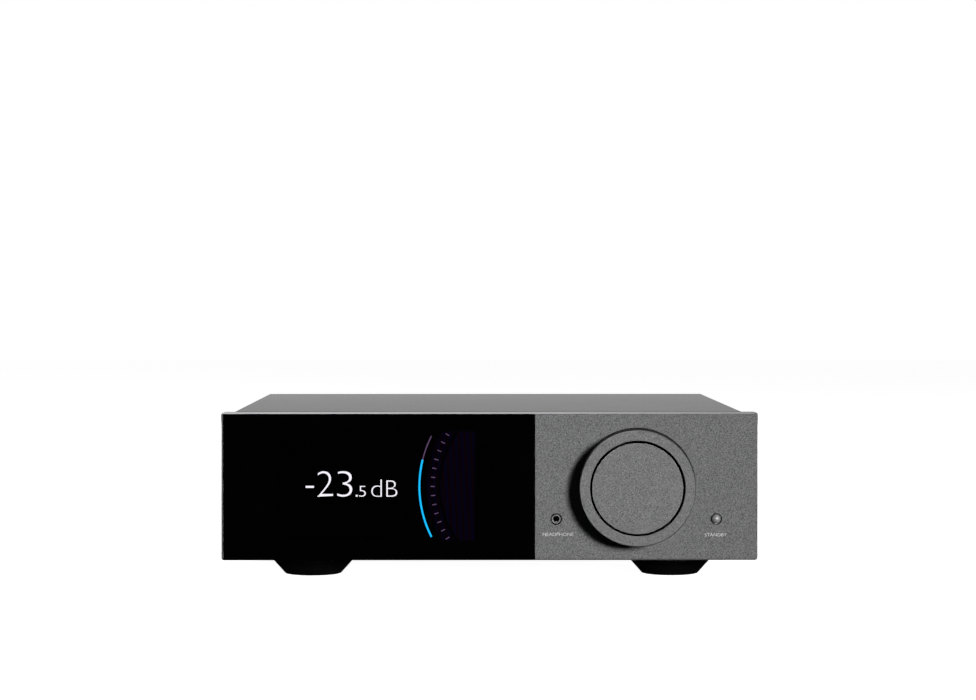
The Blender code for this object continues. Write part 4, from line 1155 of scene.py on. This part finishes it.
def speaker_terminal(side):
    """A moulded base with two plated studs, and a washer and a fluted screw cap on each."""
    low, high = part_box(f"speaker_terminal_{side}")
    x = (low.x + high.x) / 2
    base_out = REAR_Y + 3.3 * MM
    plate = box_mesh((low.x, REAR_Y + 0.3 * MM, low.z), (high.x, base_out, high.z), 1.2 * MM, 4)
    piece(
        f"terminal_base_{side}",
        plate,
        PLASTIC_LOOK,
        "chassis",
        [f"speaker_terminal_{side}"],
    )
    studs = []
    for row, look in (("upper", RED_LOOK), ("lower", PLASTIC_LOOK)):
        cap_low, cap_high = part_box(f"terminal_cap_{side}_{row}")
        centre = (cap_low + cap_high) / 2
        centre.x = x
        collar_out = REAR_Y + 5.9 * MM
        collar = [
            (2.6 * MM, base_out - 0.5 * MM),
            (6.4 * MM, base_out - 0.5 * MM),
            (6.4 * MM, collar_out - 0.4 * MM),
            (6.0 * MM, collar_out),
            (2.6 * MM, collar_out),
        ]
        piece(
            f"terminal_collar_{side}_{row}",
            lathe_mesh("Y", centre, collar, 64, closed=True),
            look,
            "chassis",
        )
        tip = cap_high.y - 0.5 * MM
        studs.append(
            lathe_mesh(
                "Y",
                centre,
                [
                    (0, REAR_LOW.y - 11 * MM),
                    (2.5 * MM, REAR_LOW.y - 11 * MM),
                    (2.5 * MM, tip - 0.4 * MM),
                    (2.2 * MM, tip),
                    (1.9 * MM, tip),
                    (1.9 * MM, tip - 8 * MM),
                    (0, tip - 8 * MM),
                ],
                48,
            )
        )
        terminal_cap(side, row, centre, cap_low.y, cap_high.y, look)
        washer_low, washer_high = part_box(f"terminal_washer_{side}_{row}")
        washer = [
            (2.8 * MM, washer_low.y),
            (6.0 * MM, washer_low.y),
            (6.2 * MM, washer_low.y + 0.2 * MM),
            (6.2 * MM, washer_high.y - 0.2 * MM),
            (6.0 * MM, washer_high.y),
            (2.8 * MM, washer_high.y),
        ]
        name = f"terminal_washer_{side}_{row}"
        piece(
            f"{name}_plated",
            lathe_mesh("Y", centre, washer, 64, closed=True),
            GOLD_LOOK,
            name,
            [name],
        )
    piece(f"terminal_studs_{side}", joined(studs), GOLD_LOOK, "chassis")


def terminal_cap(side, row, centre, start, end, ring_look):
    """A fluted grip with a coloured band round its outer end and a gold sleeve inside."""
    flutes, grip, dip, bore = 18, 7.3 * MM, 0.45 * MM, 3.3 * MM
    outline = []
    for i in range(flutes * 6):
        angle = tau * i / (flutes * 6)
        radius = grip - dip * (0.5 - 0.5 * cos(flutes * angle)) ** 2
        outline.append((centre.x + radius * cos(angle), centre.z + radius * sin(angle)))
    body = prism_mesh(outline, "Y", (start + 0.1 * MM, end - 2.4 * MM))
    hole = lathe_mesh("Y", centre, tube(0, bore, start - 1 * MM, end + 1 * MM), 48)
    name = f"terminal_cap_{side}_{row}"
    piece(f"{name}_grip", carved(body, [hole], 25), SMOKE_LOOK, name, [name])
    band = [
        (bore, end - 2.3 * MM),
        (6.7 * MM, end - 2.3 * MM),
        (6.7 * MM, end - 0.9 * MM),
        (6.0 * MM, end),
        (bore, end),
    ]
    piece(
        f"{name}_band", lathe_mesh("Y", centre, band, 64, closed=True), ring_look, name
    )
    sleeve = tube(2.8 * MM, 3.2 * MM, start + 0.2 * MM, end - 0.2 * MM)
    piece(f"{name}_sleeve", lathe_mesh("Y", centre, sleeve, 48, closed=True), GOLD_LOOK, name)


def socket_contacts():
    """The gold contacts that show inside the network, USB and HDMI sockets."""
    network, usb, hdmi = middle("network_socket"), middle("usb_socket"), middle("hdmi_socket")
    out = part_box("network_socket")[1].y
    combs = [
        box_mesh(
            (network.x + (i - 3.5) * 1.0 * MM - 0.2 * MM, out - 13 * MM, 36.4 * MM),
            (network.x + (i - 3.5) * 1.0 * MM + 0.2 * MM, out - 3 * MM, 36.9 * MM),
        )
        for i in range(8)
    ]
    combs += [
        box_mesh(
            (usb.x + (i - 1.5) * 2.4 * MM - 0.5 * MM, out - 9.5 * MM, 30.02 * MM),
            (usb.x + (i - 1.5) * 2.4 * MM + 0.5 * MM, out - 1.8 * MM, 30.18 * MM),
        )
        for i in range(4)
    ]
    combs += [
        box_mesh(
            (hdmi.x + (i - 4.5) * 1.0 * MM - 0.22 * MM, out - 8.5 * MM, 30.32 * MM),
            (hdmi.x + (i - 4.5) * 1.0 * MM + 0.22 * MM, out - 1.8 * MM, 30.42 * MM),
        )
        for i in range(10)
    ]
    piece("socket_contacts", joined(combs), GOLD_LOOK, "chassis")
    latch = box_mesh(
        (network.x - 3.0 * MM, out - 12 * MM, 26.9 * MM), (network.x + 3.0 * MM, out - 0.1 * MM, 28.95 * MM)
    )
    piece("network_latch_floor", latch, PLASTIC_LOOK, "chassis")


def frame_outline(x, z, width=0.35 * MM):
    """A thin printed rectangle on the rear panel, as four strips."""
    y = PRINT_SPAN
    strips = [
        ((x[0], z[0]), (x[1], z[0] + width)),
        ((x[0], z[1] - width), (x[1], z[1])),
        ((x[0], z[0] + width), (x[0] + width, z[1] - width)),
        ((x[1] - width, z[0] + width), (x[1], z[1] - width)),
    ]
    return [box_mesh((a[0], y[0], a[1]), (b[0], y[1], b[1])) for a, b in strips]


def rear_print():
    """Printed frames round the groups of sockets, and the signs beside the speaker terminals."""
    groups = [
        ("network_socket", "optical_socket", 45.0),
        ("coax_jacks", "coax_jacks", 64.0),
        ("line_jacks", "line_jacks", 64.0),
    ]
    marks = []
    for first, last, top in groups:
        left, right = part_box(first)[0].x - 3 * MM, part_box(last)[1].x + 3 * MM
        marks += frame_outline((left, right), (24.5 * MM, top * MM))
    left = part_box("speaker_terminal_left")[0].x - 5 * MM
    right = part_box("speaker_terminal_right")[1].x + 5 * MM
    marks += frame_outline((left, right), (36 * MM, 108 * MM))
    y = PRINT_SPAN
    for side in ("left", "right"):
        x = middle(f"speaker_terminal_{side}").x
        marks.append(box_mesh((x - 1.6 * MM, y[0], 102.8 * MM), (x + 1.6 * MM, y[1], 103.3 * MM)))
        marks.append(box_mesh((x - 0.25 * MM, y[0], 101.4 * MM), (x + 0.25 * MM, y[1], 102.75 * MM)))
        marks.append(box_mesh((x - 0.25 * MM, y[0], 103.35 * MM), (x + 0.25 * MM, y[1], 104.7 * MM)))
        marks.append(box_mesh((x - 1.6 * MM, y[0], 38.4 * MM), (x + 1.6 * MM, y[1], 38.9 * MM)))
    piece("rear_print_lines", joined(marks), INK_LOOK, "chassis")


# ---------------------------------------------------------------- stage


def floor():
    mesh = bpy.data.meshes.new("floor")
    size = 6.0
    mesh.from_pydata(
        [(-size, -size, 0), (size, -size, 0), (size, size, 0), (-size, size, 0)], [], [(0, 1, 2, 3)]
    )
    made = bpy.data.objects.new("floor", mesh)
    bpy.context.scene.collection.objects.link(made)
    made.location.z = -0.0002
    look = bpy.data.materials.new("pale_floor")
    look.use_nodes = True
    shader = look.node_tree.nodes["Principled BSDF"]
    shader.inputs["Base Color"].default_value = (0.60, 0.60, 0.60, 1)
    shader.inputs["Roughness"].default_value = 0.9
    shader.inputs["Specular IOR Level"].default_value = 0.0
    shader.inputs["Emission Color"].default_value = (1, 1, 1, 1)
    shader.inputs["Emission Strength"].default_value = 0.97
    mesh.materials.append(look)
    made.visible_diffuse = False
    made.visible_glossy = False


def softbox(name, place, target, size, power, mirrored=True):
    light = bpy.data.lights.new(name, "AREA")
    light.shape = "RECTANGLE"
    light.size, light.size_y = size
    light.energy = power
    made = bpy.data.objects.new(name, light)
    bpy.context.scene.collection.objects.link(made)
    made.location = place
    made.rotation_euler = (Vector(target) - Vector(place)).to_track_quat("-Z", "Y").to_euler()
    made.visible_camera = False
    made.visible_glossy = mirrored
    return made


def studio():
    """A narrow key from the front right, a broad top light, fills for the sides and back, and a pale world."""
    target = (GLASS_LOW.x, FACE_Y, KNOB.z)
    key = softbox("key", (KNOB.x + 1.72, FACE_Y - 4.10, KNOB.z + 0.90), target, (0.90, 0.90), 10)
    key.data.spread = radians(30)
    softbox("top", (-0.12, 0.26, 1.9), (0.0, 0.05, 0.12), (3.6, 1.4), 11.5)
    softbox("left_side", (-2.2, 0.5, 0.4), (-0.19, 0.1, 0.06), (1.2, 0.6), 18, mirrored=False)
    softbox("right_side", (2.2, 0.5, 0.4), (0.19, 0.1, 0.06), (1.2, 0.6), 18, mirrored=False)
    softbox("back", (-0.2, 2.0, 0.85), (0, 0.17, 0.06), (1.6, 0.8), 70, mirrored=False)
    world = bpy.data.worlds.new("studio")
    bpy.context.scene.world = world
    world.use_nodes = True
    tree = world.node_tree
    backdrop = tree.nodes["Background"]
    backdrop.inputs["Color"].default_value = (1, 1, 1, 1)
    seen = tree.nodes.new("ShaderNodeLightPath")
    strength = ranged(tree, seen.outputs["Is Camera Ray"], 0.008, 1.0, 0.0, 1.0)
    tree.links.new(strength, backdrop.inputs["Strength"])


def camera():
    """The view from straight ahead, a little left of centre and a little above the top, angles in radians."""
    data = bpy.data.cameras.new("camera")
    data.sensor_width = 36.0
    data.lens = 92.46
    data.clip_end = 50
    made = bpy.data.objects.new("camera", data)
    bpy.context.scene.collection.objects.link(made)
    aside, distance, height = -15.2 * MM, 1864.9 * MM, 199.1 * MM
    downward, turn = 0.02259, -0.00746
    made.location = (aside, FACE_Y - distance, PANEL_LOW.z + height)
    made.rotation_euler = (pi / 2 - downward, 0, turn)
    bpy.context.scene.camera = made


# ---------------------------------------------------------------- build

finish_frame_nodes()
front_panel()
glass()
screen()
volume_scale()
reading()
control_labels()
volume_ring()
place_knob_shadow_ring()
select_disc()
select_spring()
headphone_socket()
standby_button()
top_cover()
screws()
feet()
mains_inlet()
power_switch()
phono_jacks()
for terminal_side in ("left", "right"):
    speaker_terminal(terminal_side)
socket_contacts()
rear_print()
floor()
studio()
camera()
bpy.context.scene.view_settings.view_transform = "Standard"

bpy.context.view_layer.update()
